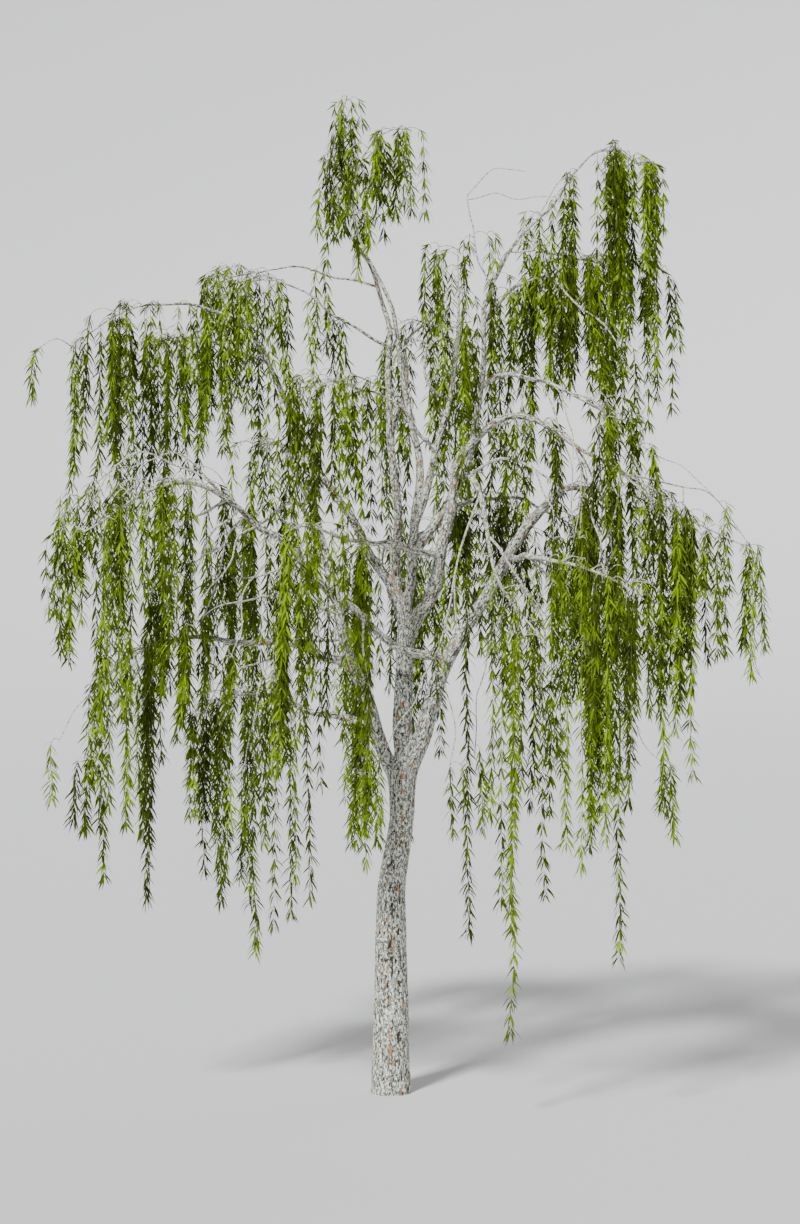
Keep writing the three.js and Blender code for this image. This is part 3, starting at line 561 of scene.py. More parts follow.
@dataclass
class Limb:
    """A tapering limb, or the trunk."""

    name: str
    path: Path
    radii: Points
    number: int
    fork_share: float = 0.55
    widest_fork: float = 0.05
    bark_apart: float = 7.3
    along_x: float = 0.9
    fork: float = field(init=False)
    sides: Points = field(init=False)
    others: Points = field(init=False)

    def __post_init__(self) -> None:
        """Carries a frame along the path, for the bark to follow."""
        self.fork = min(self.fork_share * float(self.radii[0]), self.widest_fork)
        ahead = self.path.ahead()
        side = np.array((1.0, 0.0, 0.0)) if abs(ahead[0][0]) < self.along_x else np.array((0.0, 1.0, 0.0))
        sides = []
        for tangent in ahead:
            side = unit(side - tangent * (side @ tangent))
            sides.append(side)
        self.sides = np.array(sides)
        self.others = np.cross(ahead, self.sides)

    def near(self, places: Points, margin: float) -> Points:
        """Which places lie within a margin of its box.

        Args:
            places: The places, one in a row.
            margin: How far outside the box a place may lie.

        Returns:
            The numbers of the rows.
        """
        low = self.path.points.min(axis=0) - self.radii.max() - margin
        high = self.path.points.max(axis=0) + self.radii.max() + margin
        return np.flatnonzero(((places > low) & (places < high)).all(axis=1))

    def read(self, places: Points) -> tuple[Points, Points, Points, Points]:
        """Reads its surface at some places.

        Args:
            places: The places, one in a row.

        Returns:
            For each place its gap to the surface, the way out, where it is on the bark, and the radius.
        """
        start = self.path.points[:-1]
        step = np.diff(self.path.points, axis=0)
        squares = (step**2).sum(axis=1)
        along = places @ step.T - (start * step).sum(axis=1)
        share = np.clip(along / squares, 0, 1)
        far = (places**2).sum(axis=1)[:, None] - 2 * places @ start.T + (start**2).sum(axis=1)
        distance = np.sqrt(np.maximum(far - 2 * share * along + share**2 * squares, 0))
        radius = self.radii[:-1] + share * np.diff(self.radii)
        best = (distance - radius).argmin(axis=1)
        row = np.arange(len(places))
        t = share[row, best][:, None]
        away = places - (start[best] + t * step[best])
        side = mix(self.sides[best], self.sides[best + 1], t)
        other = mix(self.others[best], self.others[best + 1], t)
        run = self.path.marks[best] + t[:, 0] * np.sqrt(squares[best]) + self.bark_apart * self.number
        bark = np.stack([(away * side).sum(axis=1), (away * other).sum(axis=1), run], axis=1)
        return distance[row, best] - radius[row, best], unit(away), bark, radius[row, best]

    def raised(self, sides: int, ring: float, least: float) -> bpy.types.Object:
        """Raises it by hand: a disc at its foot, extruded, turned and resized ring by ring.

        Args:
            sides: The sides of the tube.
            ring: How far apart the rings are.
            least: The least radius of a ring.

        Returns:
            The tube.
        """
        line = self.path.even(max(FEWEST_RINGS, round(self.path.length / ring)))
        shares = np.linspace(0, 1, len(line.points))
        radii = np.maximum(np.interp(shares * self.path.length, self.path.marks, self.radii), least)
        points = [Vector(point) for point in line.points]
        ahead = (points[1] - points[0]).normalized()
        bpy.ops.mesh.primitive_circle_add(
            vertices=sides,
            radius=float(radii[0]),
            fill_type="NGON",
            location=points[0],
            rotation=ahead.to_track_quat("Z", "Y").to_euler(),
        )
        bpy.ops.object.mode_set(mode="EDIT")
        for i in range(1, len(points)):
            bpy.ops.mesh.extrude_region_move(TRANSFORM_OT_translate={"value": points[i] - points[i - 1]})
            after = (points[min(i + 1, len(points) - 1)] - points[i - 1]).normalized()
            turn_selection(ahead.cross(after), ahead.angle(after), points[i])
            ahead = after
            bpy.ops.transform.resize(value=(radii[i] / radii[i - 1],) * 3, center_override=points[i])
        bpy.ops.mesh.select_all(action="SELECT")
        bpy.ops.mesh.normals_make_consistent(inside=False)
        bpy.ops.object.mode_set(mode="OBJECT")
        return bpy.context.object


def turn_selection(axis: Vector, angle: float, centre: Vector) -> None:
    """Turns what is selected.

    Args:
        axis: The axis that it turns about.
        angle: How far it turns, in radians.
        centre: A point that the axis goes through.
    """
    if angle < LEAST_TURN:
        return
    axis = axis.normalized()
    side = axis.orthogonal().normalized()
    bpy.ops.transform.rotate(
        value=-angle,
        orient_axis="Z",
        orient_matrix=(side[:], axis.cross(side)[:], axis[:]),
        center_override=centre,
    )


@dataclass
class Skeleton:
    """The trunk and the boughs, grown by the rule of the solids.

    sway and nod are the two waves of a crooked limb, each with how it differs from limb to limb and how fast
    it runs along one. A slim bough, and a thin limb even more, has stronger kinks than a stout one.
    """

    foot: float = 0.388
    flare: float = 0.014
    flare_height: float = 0.160
    waist: float = 0.240
    waist_height: float = 2.700
    neck: float = 0.268
    fork_height: float = 3.260
    lean: float = 0.110
    lean_from: float = 1.900
    lean_to: float = 2.850
    top_height: float = 0.16
    top_share: float = 0.4
    crook: float = 0.022
    sway: tuple[float, float] = (2.2, 9.0)
    nod: tuple[float, float] = (1.7, 11.0)
    kink: float = 0.020
    kink_step: float = 0.30
    kink_seed: int = 50
    slim: float = 0.045
    slim_kink: float = 1.5
    thin_kink: float = 2.2
    ring: float = 0.055
    fewest_rings: int = 8
    limbs: dict[str, Limb] = field(init=False)

    def __post_init__(self) -> None:
        """Grows the trunk, and then each limb from the one that bears it."""
        self.limbs = {"trunk": self.trunk()}
        for number, (name, row) in enumerate(LIMBS.items()):
            self.limbs[name] = self.limb(name, row, number, self.limbs[row.source])

    def limb(self, name: str, row: LimbRow, number: int, source: Limb) -> Limb:
        """Grows one limb from the one that bears it.

        Args:
            name: Its name.
            row: How it grows.
            number: Its place in the list.
            source: The limb that bears it.

        Returns:
            The limb.
        """
        path = self.line(row, number, source.path.at(row.at))
        shares = np.linspace(0, 1, len(path.points))
        return Limb(name, path, mix(row.girth[0], row.girth[1], shares) / 2, number + 1)

    def girth(self, height: float) -> float:
        """The trunk's girth.

        Args:
            height: The height that it is wanted at.

        Returns:
            The girth there.
        """
        share = min(height / self.waist_height, 1)
        flare = self.flare * math.exp(-height / self.flare_height)
        neck = smoothstep(height, self.waist_height, self.fork_height)
        return mix(self.foot, self.waist, share) + flare + (self.neck - self.waist) * neck

    def trunk(self) -> Limb:
        """The trunk, from the ground to the fork, where it is rounded off.

        Returns:
            The trunk.
        """
        heights = np.linspace(0, self.fork_height, round(self.fork_height / self.ring))
        lean = [self.lean * smoothstep(height, self.lean_from, self.lean_to) for height in heights]
        points = np.stack([lean, np.zeros(len(heights)), heights], axis=1)
        top_from = self.fork_height - self.top_height
        top = [1 - self.top_share * smoothstep(height, top_from, self.fork_height) for height in heights]
        radii = np.array([self.girth(height) / 2 for height in heights]) * top
        return Limb("trunk", Path(points), radii, 0)

    def line(self, row: LimbRow, number: int, start: Points) -> Path:
        """The line of a limb: an arch between its two climbs, a little crooked.

        Args:
            row: How it grows.
            number: Its place in the list, which sets how it is crooked.
            start: Where it leaves its source.

        Returns:
            The path.
        """
        tip = row.reach * direction(row.heading, 0) + row.height * UP
        chord = float(np.linalg.norm(tip - start))
        heading = math.degrees(math.atan2(tip[1] - start[1], tip[0] - start[0]))
        handle = chord * row.full
        leaving, arriving = (handle * direction(heading, climb) for climb in row.climb)
        smooth = Path(arch(start, leaving, arriving, tip))
        rings = max(self.fewest_rings, round(smooth.length / self.ring))
        share = np.linspace(0, 1, rings + 1)[:, None]
        middle = np.sin(math.pi * share)
        bend = chord * self.crook * middle
        points = smooth.at(share[:, 0])
        sway = np.sin(self.sway[0] * number + self.sway[1] * share)
        nod = np.cos(self.nod[0] * number + self.nod[1] * share)
        points = points + direction(heading + 90, 0) * bend * sway
        points = points + UP * bend * nod
        points = points - np.array((0.0, row.bow, 0.0)) * middle
        strength = 1.0
        if number >= len(LIMBS):
            strength = self.thin_kink
        elif row.girth[0] < self.slim:
            strength = self.slim_kink
        return Path(points + strength * self.kinks(smooth.length, share[:, 0], number))

    def kinks(self, length: float, shares: Points, number: int) -> Points:
        """How far a limb strays to every side, from one kink to the next.

        Args:
            length: Its length.
            shares: The shares of its length to give.
            number: Its place in the list, which seeds the kinks.

        Returns:
            How far it strays at each share, none at its two ends.
        """
        count = max(2, round(length / self.kink_step))
        chance = np.random.default_rng(self.kink_seed + number)
        knots = chance.uniform(-self.kink, self.kink, (count + 1, 3))
        knots[[0, -1]] = 0
        at = np.linspace(0, 1, count + 1)
        stray = np.stack([np.interp(shares, at, knots[:, axis]) for axis in range(3)], axis=1)
        stray[1:-1] = (stray[:-2] + 2 * stray[1:-1] + stray[2:]) / 4
        return stray

    def reaching(self, height: float, above: bool) -> list[str]:
        """The limbs that come on one side of a height.

        Args:
            height: The height.
            above: True for the side above it, and False for the side below.

        Returns:
            Their names.
        """
        names = []
        for limb in self.limbs.values():
            heights = limb.path.points[:, 2]
            if (above and heights.max() > height) or (not above and heights.min() < height):
                names.append(limb.name)
        return names


@dataclass
class Wood:
    """The trunk and the boughs as one skin with the bark's relief.

    A furrow is wider on a stout limb. The grain is a coarse and a fine run of ridges, on places that are
    warped a little by a seeded noise, and swell is how many times in a metre the limb is uneven.
    """

    skeleton: Skeleton
    voxel: float = 0.0122
    sides: int = 10
    raised_ring: float = 0.12
    least: float = 0.0125
    margin: float = 0.12
    outside: float = 9.0
    settling: int = 3
    furrow: float = 0.028
    furrow_least: float = 0.45
    furrow_widening: float = 3.2
    furrow_length: float = 0.13
    warp: float = 0.45
    warp_waves: float = 0.6
    ridge: float = 2.6
    coarse: float = 0.68
    fine: float = 0.32
    fine_waves: float = 2.3
    surface: float = 0.35
    plain: float = 0.4
    depth: float = 0.048
    unevenness: float = 0.035
    swell: tuple[float, float, float] = (5.0, 5.0, 1.6)
    part_height: float = 5.05
    smooth_angle: float = 60.0
    warp_seed: int = 5

    def read(self, places: Points) -> Reading:
        """Reads the skin of all of the limbs, which flow into each other where they fork.

        Args:
            places: The places, one in a row.

        Returns:
            The reading.
        """
        count = len(places)
        out = Reading(
            gap=np.full(count, self.outside),
            outward=np.zeros((count, 3)),
            bark=np.zeros((count, 3)),
            stout=np.zeros(count),
            clear=np.ones(count),
        )
        for limb in self.skeleton.limbs.values():
            near = limb.near(places, self.margin)
            if not len(near):
                continue
            gap, outward, bark, radius = limb.read(places[near])
            keep = np.clip(0.5 + 0.5 * (gap - out.gap[near]) / limb.fork, 0, 1)
            out.clear[near] *= np.clip(np.abs(gap - out.gap[near]) / limb.fork, 0, 1) ** 0.5
            out.gap[near] = mix(gap, out.gap[near], keep) - limb.fork * keep * (1 - keep)
            out.outward[near] = mix(outward, out.outward[near], keep[:, None])
            out.stout[near] = mix(radius, out.stout[near], keep)
            out.bark[near] = np.where(keep[:, None] > 0.5, out.bark[near], bark)
        out.outward = unit(out.outward)
        return out

    def skin(self) -> bpy.types.Object:
        """Raises every limb, joins them and draws one skin round them.

        Returns:
            The skin, which has no relief yet.
        """
        limbs = self.skeleton.limbs.values()
        tubes = [limb.raised(self.sides, self.raised_ring, self.least) for limb in limbs]
        for tube in tubes:
            tube.select_set(True)
        bpy.context.view_layer.objects.active = tubes[0]
        bpy.ops.object.join()
        bpy.ops.object.transform_apply(location=True, rotation=True, scale=True)
        wood = bpy.context.object
        remesh = wood.modifiers.new("skin", "REMESH")
        remesh.mode = "VOXEL"
        remesh.voxel_size = self.voxel
        bpy.ops.object.modifier_apply(modifier=remesh.name)
        return wood

    def relief(self, bark: Points, stout: Points) -> tuple[Points, Points]:
        """The bark's relief.

        Args:
            bark: Where each place is on the bark.
            stout: The limb's radius there.

        Returns:
            How far each place stands out, and the same as a number about 0.
        """
        noise.seed_set(self.warp_seed)
        wide = self.furrow * (self.furrow_least + self.furrow_widening * stout)
        across = bark[:, :2] / wide[:, None]
        long = bark[:, 2:] / self.furrow_length
        grain = np.empty(len(bark))
        for i, place in enumerate(np.concatenate([across, long], axis=1)):
            point = Vector(place)
            point += self.warp * noise.noise_vector(point * self.warp_waves)
            coarse = 1 - self.ridge * abs(noise.noise(point))
            fine = 1 - self.ridge * abs(noise.noise(point * self.fine_waves))
            grain[i] = self.coarse * coarse + self.fine * fine
        swell = np.array([noise.noise(Vector(place)) for place in bark * self.swell])
        return stout * (self.depth * (grain - self.surface) + self.unevenness * swell), grain

    def build(self) -> bpy.types.Object:
        """Makes the skin, settles it on the limbs and gives it its bark.

        Returns:
            The wood, cut flat at the ground.
        """
        wood = self.skin()
        mesh = wood.data
        places = np.empty(len(mesh.vertices) * 3, np.float32)
        mesh.vertices.foreach_get("co", places)
        places = places.reshape(-1, 3).astype(float)
        for _ in range(self.settling):
            reading = self.read(places)
            places -= reading.outward * reading.gap[:, None]
        reading = self.read(places)
        lift, grain = self.relief(reading.bark, reading.stout)
        places += reading.outward * (lift * reading.clear)[:, None]
        mesh.vertices.foreach_set("co", places.astype(np.float32).ravel())
        write_attribute(mesh, "bark_place", "FLOAT_VECTOR", reading.bark)
        write_attribute(mesh, "grain", "FLOAT", mix(self.plain, grain, reading.clear))
        write_attribute(mesh, "stout", "FLOAT", reading.stout)
        mesh.update()
        cut(wood, 0.0, keep_above=True)
        return wood


def write_attribute(mesh: bpy.types.Mesh, name: str, kind: str, values: Points) -> None:
    """Writes a value for each vertex of a mesh.

    Args:
        mesh: The mesh.
        name: The attribute's name.
        kind: FLOAT_VECTOR for places, and FLOAT for numbers.
        values: The values, one in a row.
    """
    attribute = mesh.attributes.new(name, kind, "POINT")
    key = "vector" if kind == "FLOAT_VECTOR" else "value"
    attribute.data.foreach_set(key, values.astype(np.float32).ravel())


def cut(piece: bpy.types.Object, height: float, keep_above: bool) -> None:
    """Cuts a piece flat at a height and closes the cut.

    Args:
        piece: What is cut.
        height: Where the level cut is.
        keep_above: True if what is above it stays, and False if what is below does.
    """
    bpy.ops.object.select_all(action="DESELECT")
    bpy.context.view_layer.objects.active = piece
    piece.select_set(True)
    bpy.ops.object.mode_set(mode="EDIT")
    bpy.ops.mesh.select_all(action="SELECT")
    bpy.ops.mesh.bisect(
        plane_co=(0, 0, height),
        plane_no=(0, 0, 1),
        use_fill=True,
        clear_inner=keep_above,
        clear_outer=not keep_above,
    )
    bpy.ops.object.mode_set(mode="OBJECT")


@dataclass
class Store:
    """Points and triangles that are gathered for one joined mesh."""

    points: list[Points] = field(default_factory=list)
    faces: list[Points] = field(default_factory=list)
    count: int = 0

    def add(self, points: Points, faces: Points) -> None:
        """Adds a shape.

        Args:
            points: Its points.
            faces: Its triangles, as places in the points.
        """
        self.points.append(points)
        self.faces.append(faces + self.count)
        self.count += len(points)

    def tube(self, path: Path, radii: Points, sides: int, side: Points) -> None:
        """Adds a closed tube that ends in a point.

        Args:
            path: Its middle line.
            radii: Its radius at each point of the path.
            sides: Its number of sides.
            side: A direction that the path never runs along.
        """
        ahead = path.ahead()
        first = unit(np.cross(ahead, side))
        second = np.cross(ahead, first)
        angles = np.arange(sides) * (2 * math.pi / sides)
        across = np.cos(angles)[None, :, None] * first[:, None]
        ring = across + np.sin(angles)[None, :, None] * second[:, None]
        rings = len(path.points)
        points = path.points[:, None] + ring * radii[:, None, None]
        tip = path.points[-1] + ahead[-1] * radii[-1] * TIP_LENGTH
        here = np.arange(sides)
        after = (here + 1) % sides
        low = (np.arange(rings - 1) * sides)[:, None]
        quads = [np.stack([low + here, low + after, low + sides + after], axis=2)]
        quads.append(np.stack([low + here, low + sides + after, low + sides + here], axis=2))
        foot = np.stack([np.zeros(sides - 2, int), here[2:], here[1:-1]], axis=1)
        last = (rings - 1) * sides
        end = np.stack([last + here, last + after, np.full(sides, rings * sides)], axis=1)
        faces = np.concatenate([*(quad.reshape(-1, 3) for quad in quads), foot, end])
        self.add(np.concatenate([points.reshape(-1, 3), tip[None]]), faces)

    def piece(self, name: str) -> bpy.types.Object:
        """The joined mesh as an object.

        Args:
            name: Its name.

        Returns:
            The object, shaded smooth.
        """
        points = np.concatenate(self.points).astype(np.float32)
        faces = np.concatenate(self.faces).astype(np.int32)
        mesh = bpy.data.meshes.new(name)
        mesh.vertices.add(len(points))
        mesh.vertices.foreach_set("co", points.ravel())
        mesh.loops.add(faces.size)
        mesh.loops.foreach_set("vertex_index", faces.ravel())
        mesh.polygons.add(len(faces))
        mesh.polygons.foreach_set("loop_start", np.arange(0, faces.size, 3, dtype=np.int32))
        mesh.polygons.foreach_set("loop_total", np.full(len(faces), 3, np.int32))
        mesh.polygons.foreach_set("use_smooth", np.ones(len(faces), bool))
        mesh.update(calc_edges=True)
        mesh.validate()
        piece = bpy.data.objects.new(name, mesh)
        bpy.context.scene.collection.objects.link(piece)
        return piece


class Tint(Enum):
    """The greens that the sprays are dealt, each with its colour and its share."""

    LIME = ((0.215, 0.350, 0.006), 0.16)
    FRESH = ((0.145, 0.232, 0.004), 0.28)
    LEAF = ((0.098, 0.153, 0.003), 0.28)
    OLIVE = ((0.067, 0.101, 0.003), 0.18)
    DEEP = ((0.044, 0.064, 0.002), 0.10)

    @property
    def colour(self) -> tuple[float, float, float]:
        """Its base colour."""
        return self.value[0]

    @property
    def share(self) -> float:
        """How many of the sprays take it."""
        return self.value[1]


@dataclass
class Leaf:
    """The shape of a leaf: long and narrow, folded along its midrib, and drooping to its tip."""

    wide: float = 0.122
    rows: tuple[tuple[float, float], ...] = ((0.27, 0.94), (0.62, 0.86))
    fold: float = 0.02
    droop: float = 0.22
    place: Points = field(init=False)
    faces: Points = field(init=False)

    def __post_init__(self) -> None:
        """Lays out its points and faces: the stalk's end, two rows of edge, midrib and edge, and the tip."""
        sides = [
            (along, half * self.wide * share / 2, self.fold * share * abs(half))
            for along, share in self.rows
            for half in (-1, 0, 1)
        ]
        outline = [(0, 0, 0), *sides, (1, 0, 0)]
        self.place = np.array([(along, aside, up - self.droop * along**2) for along, aside, up in outline])
        foot = [(0, 2, 1), (0, 3, 2)]
        middle = [(1, 2, 5), (1, 5, 4), (2, 3, 6), (2, 6, 5)]
        self.faces = np.array([*foot, *middle, (4, 5, 7), (5, 6, 7)])

    def grown(self, roots: Points, forward: Points, facing: Points, lengths: Points) -> tuple[Points, Points]:
        """Copies it to many places.

        Args:
            roots: Where each leaf starts.
            forward: Which way each one points.
            facing: Which way its face is turned.
            lengths: How long each one is.

        Returns:
            The points and the faces of them all.
        """
        across = unit(np.cross(facing, forward))
        facing = np.cross(forward, across)
        axes = np.stack([forward, across, facing], axis=1)
        points = roots[:, None] + lengths[:, None, None] * np.einsum("pk,nkc->npc", self.place, axes)
        start = np.arange(len(roots)) * len(self.place)
        return points.reshape(-1, 3), (self.faces[None] + start[:, None, None]).reshape(-1, 3)


@dataclass
class Strand:
    """A twig that hangs, with the share of its length where its leaves begin."""

    path: Path
    heading: float
    bare: float


@dataclass(frozen=True)
class StemForm:
    """How a curtain's stem carries its bough on, and how the stems and thin limbs are rounded."""

    steps: int = 22
    sides: int = 6
    sunk: float = 0.03
    carry: float = 0.42
    kink: float = 0.7
    kink_number: int = 100
    girth_share: float = 0.98
    side_climb: float = 0.3


@dataclass(frozen=True)
class CurtainForm:
    """How a curtain's twigs are dealt along its stem. A pair is a range that chance draws from."""

    runners: float = 2.2
    first: float = 0.10
    rest: float = 0.90
    stagger: float = 0.6
    turn: float = 137.5
    runs: tuple[float, float] = (0.35, 1.0)
    hangs: tuple[float, float] = (0.42, 1.0)
    spray: float = 0.47
    bare_twigs: int = 2
    bare_places: tuple[float, float] = (0.1, 0.9)
    bare_turns: tuple[float, float] = (-70, 70)
    bare_runs: tuple[float, float] = (0.3, 0.8)
    bare_hangs: tuple[float, float] = (0.6, 1.8)


@dataclass(frozen=True)
class ShootForm:
    """How shoots grow from a twig, in shares of it. A pair is a range that chance draws from."""

    most: int = 2
    splay: tuple[float, float] = (28, 100)
    places: tuple[float, float] = (0.25, 1.05)
    least_run: float = 0.18
    runs: tuple[float, float] = (0.3, 0.75)
    hangs: tuple[float, float] = (0.35, 0.95)


@dataclass(frozen=True)
class TwigForm:
    """How a twig goes out, over its shoulder and down. A pair is a range that chance draws from."""

    rise_at: float = 0.45
    lift: float = 0.16
    lifts: tuple[float, float] = (0.6, 1.9)
    stray: float = 0.10
    over: float = 0.10
    past: float = 0.16
    bend: float = 0.2
    most_bend: float = 0.35
    foot_out: tuple[float, float] = (-0.03, 0.05)
    foot_aside: tuple[float, float] = (-0.05, 0.05)
    knot_steps: int = 3
    step: float = 0.2
    swings: tuple[float, float] = (0.006, 0.022)
    phase: float = 6.3
    settled: float = 0.4
    waves: float = 4.2
    bare: float = 1.1
    bares: tuple[float, float] = (0.65, 1.2)
    short_run: float = 0.2
    held: float = 0.10
    fewest_points: int = 6
    least_bare: float = 0.1
    stout_radius: float = 0.0065
    slim_radius: float = 0.0032
    slim_start: float = 1.3
    tip_radius: float = 0.0014
    stout_sides: int = 4
    slim_sides: int = 3


@dataclass(frozen=True)
class SprayForm:
    """How pairs of leaves sit in bunches along a twig. A pair is a range that chance draws from."""

    bunch_pairs: float = 4.6
    bunches_apart: tuple[float, float] = (0.085, 0.17)
    bunch_length: float = 0.08
    stray: float = 0.012
    ahead: float = 0.02
    downward: float = 1e-6
    turns: tuple[float, float] = (62, 102)
    twist: float = 28
    angles: tuple[float, float] = (24, 58)
    lengths: tuple[float, float] = (0.125, 0.180)
    first_length: float = 0.66
    lengthening: float = 2.2
    last_length: float = 0.85
    roll: float = 50
    middle: float = 0.6


@dataclass(frozen=True)
class PaintedShade:
    """Painted shade: how the tints darken towards the middle of the tree, where the crown shades itself.

    A twig is dealt the next darker tint where chance comes out above a level, which rises by a range from
    the dark distance to the light one. Those are shares of the tree's spread. Its sprays stray from that
    tint by one of the strays.
    """

    middle: tuple[float, float, float] = (0.0, 0.2, 5.0)
    spread: tuple[float, float, float] = (3.6, 2.4, 5.0)
    dark: float = 0.2
    light: float = 0.7
    level: float = 0.45
    level_range: float = 0.55
    strays: tuple[int, ...] = (-2, -1, -1, 0, 0, 0, 1, 1, 2)


@dataclass
class Foliage:
    """All that hangs: the stems of the curtains, the thin limbs, the twigs and the leaves.

    The twigs and leaves keep a clearance from the trunk and the boughs, whose faces are in the tree.
    """

    skeleton: Skeleton
    tree: BVHTree
    seed: int = 1000
    stem_form: StemForm = StemForm()
    curtain_form: CurtainForm = CurtainForm()
    shoot_form: ShootForm = ShootForm()
    twig_form: TwigForm = TwigForm()
    spray_form: SprayForm = SprayForm()
    # Painted shade: darker tints are dealt more often towards the middle of the tree.
    shade: PaintedShade = PaintedShade()
    clearance: float = 0.018
    most_leaves: int = 24000
    stems: Store = field(init=False)
    twigs: Store = field(init=False)
    strings: Store = field(init=False)
    sprays: dict[Tint, list[tuple[Points, ...]]] = field(init=False)
    strands: int = field(init=False)
    limbs: dict[str, Limb] = field(init=False)

    def __post_init__(self) -> None:
        """Grows every curtain, thin limb and tassel."""
        form = self.stem_form
        self.stems = Store()
        self.twigs = Store()
        self.strings = Store()
        self.sprays = {tint: [] for tint in Tint}
        self.strands = 0
        self.limbs = dict(self.skeleton.limbs)
        for number, (name, row) in enumerate(CURTAINS.items()):
            self.limbs[name] = self.stem(name, row, number)
        for number, (name, row) in enumerate(FINE_LIMBS.items(), len(LIMBS)):
            limb = self.skeleton.limb(name, row, number, self.limbs[row.source])
            self.limbs[name] = limb
            self.stems.tube(limb.path, limb.radii, form.sides, direction(row.heading + 90, form.side_climb))
        for number, (name, row) in enumerate(CURTAINS.items()):
            self.grow(row, self.limbs[name].path, np.random.default_rng(self.seed + number))
        for number, tassel in enumerate(TASSELS):
            chance = np.random.default_rng(2 * self.seed + number)
            root = self.limbs[tassel.limb].path.at(tassel.at)
            self.bunch(root, tassel.heading, tassel.run, tassel.hang, tassel.shoots, chance)

    def stem(self, name: str, row: CurtainRow, number: int) -> Limb:
        """The stem of a curtain, from inside the tip of its bough.

        Args:
            name: The curtain's name.
            row: How the curtain hangs.
            number: Its place in the list.

        Returns:
            The stem.
        """
        form = self.stem_form
        bough = self.skeleton.limbs[row.bough]
        start = bough.path.points[-1]
        ahead = unit(start - bough.path.points[-4])
        end = start + row.out * direction(row.heading, 0) + row.rise * UP
        carry = form.carry * float(np.linalg.norm(end - start))
        line = arch(start, carry * ahead, carry * direction(row.heading, row.arrive), end)
        path = Path(np.concatenate([[start - form.sunk * ahead], line])).even(form.steps)
        shares = np.linspace(0, 1, form.steps + 1)
        stray = self.skeleton.kinks(path.length, shares, form.kink_number + number)
        path = Path(path.points + form.kink * stray)
        ends = (bough.radii[-1] * form.girth_share, self.twig_form.stout_radius)
        radii = np.interp(shares, (0, 1), ends)
        self.stems.tube(path, radii, form.sides, direction(row.heading + 90, 0))
        return Limb(name, path, radii, number)

    def grow(self, row: CurtainRow, stem: Path, chance: np.random.Generator) -> None:
        """Grows one curtain: bunches of strands from its stem, to one side and the other, and bare twigs.

        Args:
            row: How the curtain hangs.
            stem: The path of its stem.
            chance: Its own run of random numbers.
        """
        form = self.curtain_form
        upright = row.rise > row.out
        count = round(row.full * form.runners * row.twigs)
        for k in range(count):
            share = form.first + form.rest * ((k + form.stagger) / count) ** row.early
            splay = mix(*self.shoot_form.splay, chance.random())
            if upright:
                heading = row.heading + (form.turn * k + splay)
            else:
                heading = row.heading + (splay if k % 2 else -splay)
            run = row.across * mix(*form.runs, chance.random())
            hang = mix(*row.hang, share) * mix(*form.hangs, chance.random()) + form.spray
            shoots = chance.integers(0, self.shoot_form.most + 1)
            self.bunch(stem.at(share), heading, run, hang, shoots, chance)
        for _ in range(form.bare_twigs):
            heading = row.heading + mix(*form.bare_turns, chance.random())
            run = row.across * mix(*form.bare_runs, chance.random())
            root = stem.at(mix(*form.bare_places, chance.random()))
            bare = self.twig(root, heading, run, run * mix(*form.bare_hangs, chance.random()), chance)
            self.hang(bare, stout=True, leafy=False, chance=chance)

    def bunch(
        self,
        root: Points,
        heading: float,
        run: float,
        hang: float,
        shoots: int,
        chance: np.random.Generator,
    ) -> None:
        """Grows a twig that hangs, and shoots from it that hang beside it.

        Args:
            root: Where the twig grows from.
            heading: Which way it goes.
            run: How far out it goes.
            hang: How far it hangs.
            shoots: How many shoots it has.
            chance: A run of random numbers.
        """
        form = self.shoot_form
        runner = self.twig(root, heading, run, hang, chance)
        self.hang(runner, stout=run >= self.twig_form.short_run, leafy=True, chance=chance)
        for _ in range(shoots):
            at = mix(*form.places, chance.random()) * run / runner.path.length
            aside = heading + chance.choice((-1, 1)) * mix(*form.splay, chance.random())
            reach = max(run, form.least_run) * mix(*form.runs, chance.random())
            length = hang * mix(*form.hangs, chance.random())
            shoot = self.twig(runner.path.at(at), aside, reach, length, chance)
            self.hang(shoot, stout=False, leafy=True, chance=chance)

    def twig(
        self, root: Points, heading: float, run: float, hang: float, chance: np.random.Generator
    ) -> Strand:
        """The line of one twig: from its root, over its shoulder and down.

        Args:
            root: Where it grows from.
            heading: Which way it goes.
            run: How far out its shoulder is.
            hang: How far it hangs down.
            chance: A run of random numbers.

        Returns:
            The twig.
        """
        form = self.twig_form
        side = direction(heading, 0)
        aside = direction(heading + 90, 0)
        kink = run * form.stray
        rise = root + side * run * form.rise_at + UP * run * form.lift * mix(*form.lifts, chance.random())
        rise = rise + aside * mix(-kink, kink, chance.random())
        shoulder = root + side * run - UP * run * form.over + aside * mix(-kink, kink, chance.random())
        bend = shoulder + side * run * form.past - UP * min(form.bend * hang, form.most_bend)
        foot = shoulder + side * run * form.past - UP * hang
        foot = foot + side * mix(*form.foot_out, chance.random())
        foot = foot + aside * mix(*form.foot_aside, chance.random())
        down = max(form.knot_steps, round((bend[2] - foot[2]) / form.step))
        points = through([root, rise, shoulder, bend, foot], [form.knot_steps] * 3 + [down])
        swing = mix(*form.swings, chance.random())
        phase = chance.random() * form.phase
        drop = np.maximum(shoulder[2] - points[:, 2], 0)
        wave = swing * np.minimum(drop / form.settled, 1) * np.sin(phase + drop * form.waves)
        path = Path(points + wave[:, None] * direction(chance.random() * 360, 0))
        return Strand(path, heading, form.bare * run / path.length * mix(*form.bares, chance.random()))

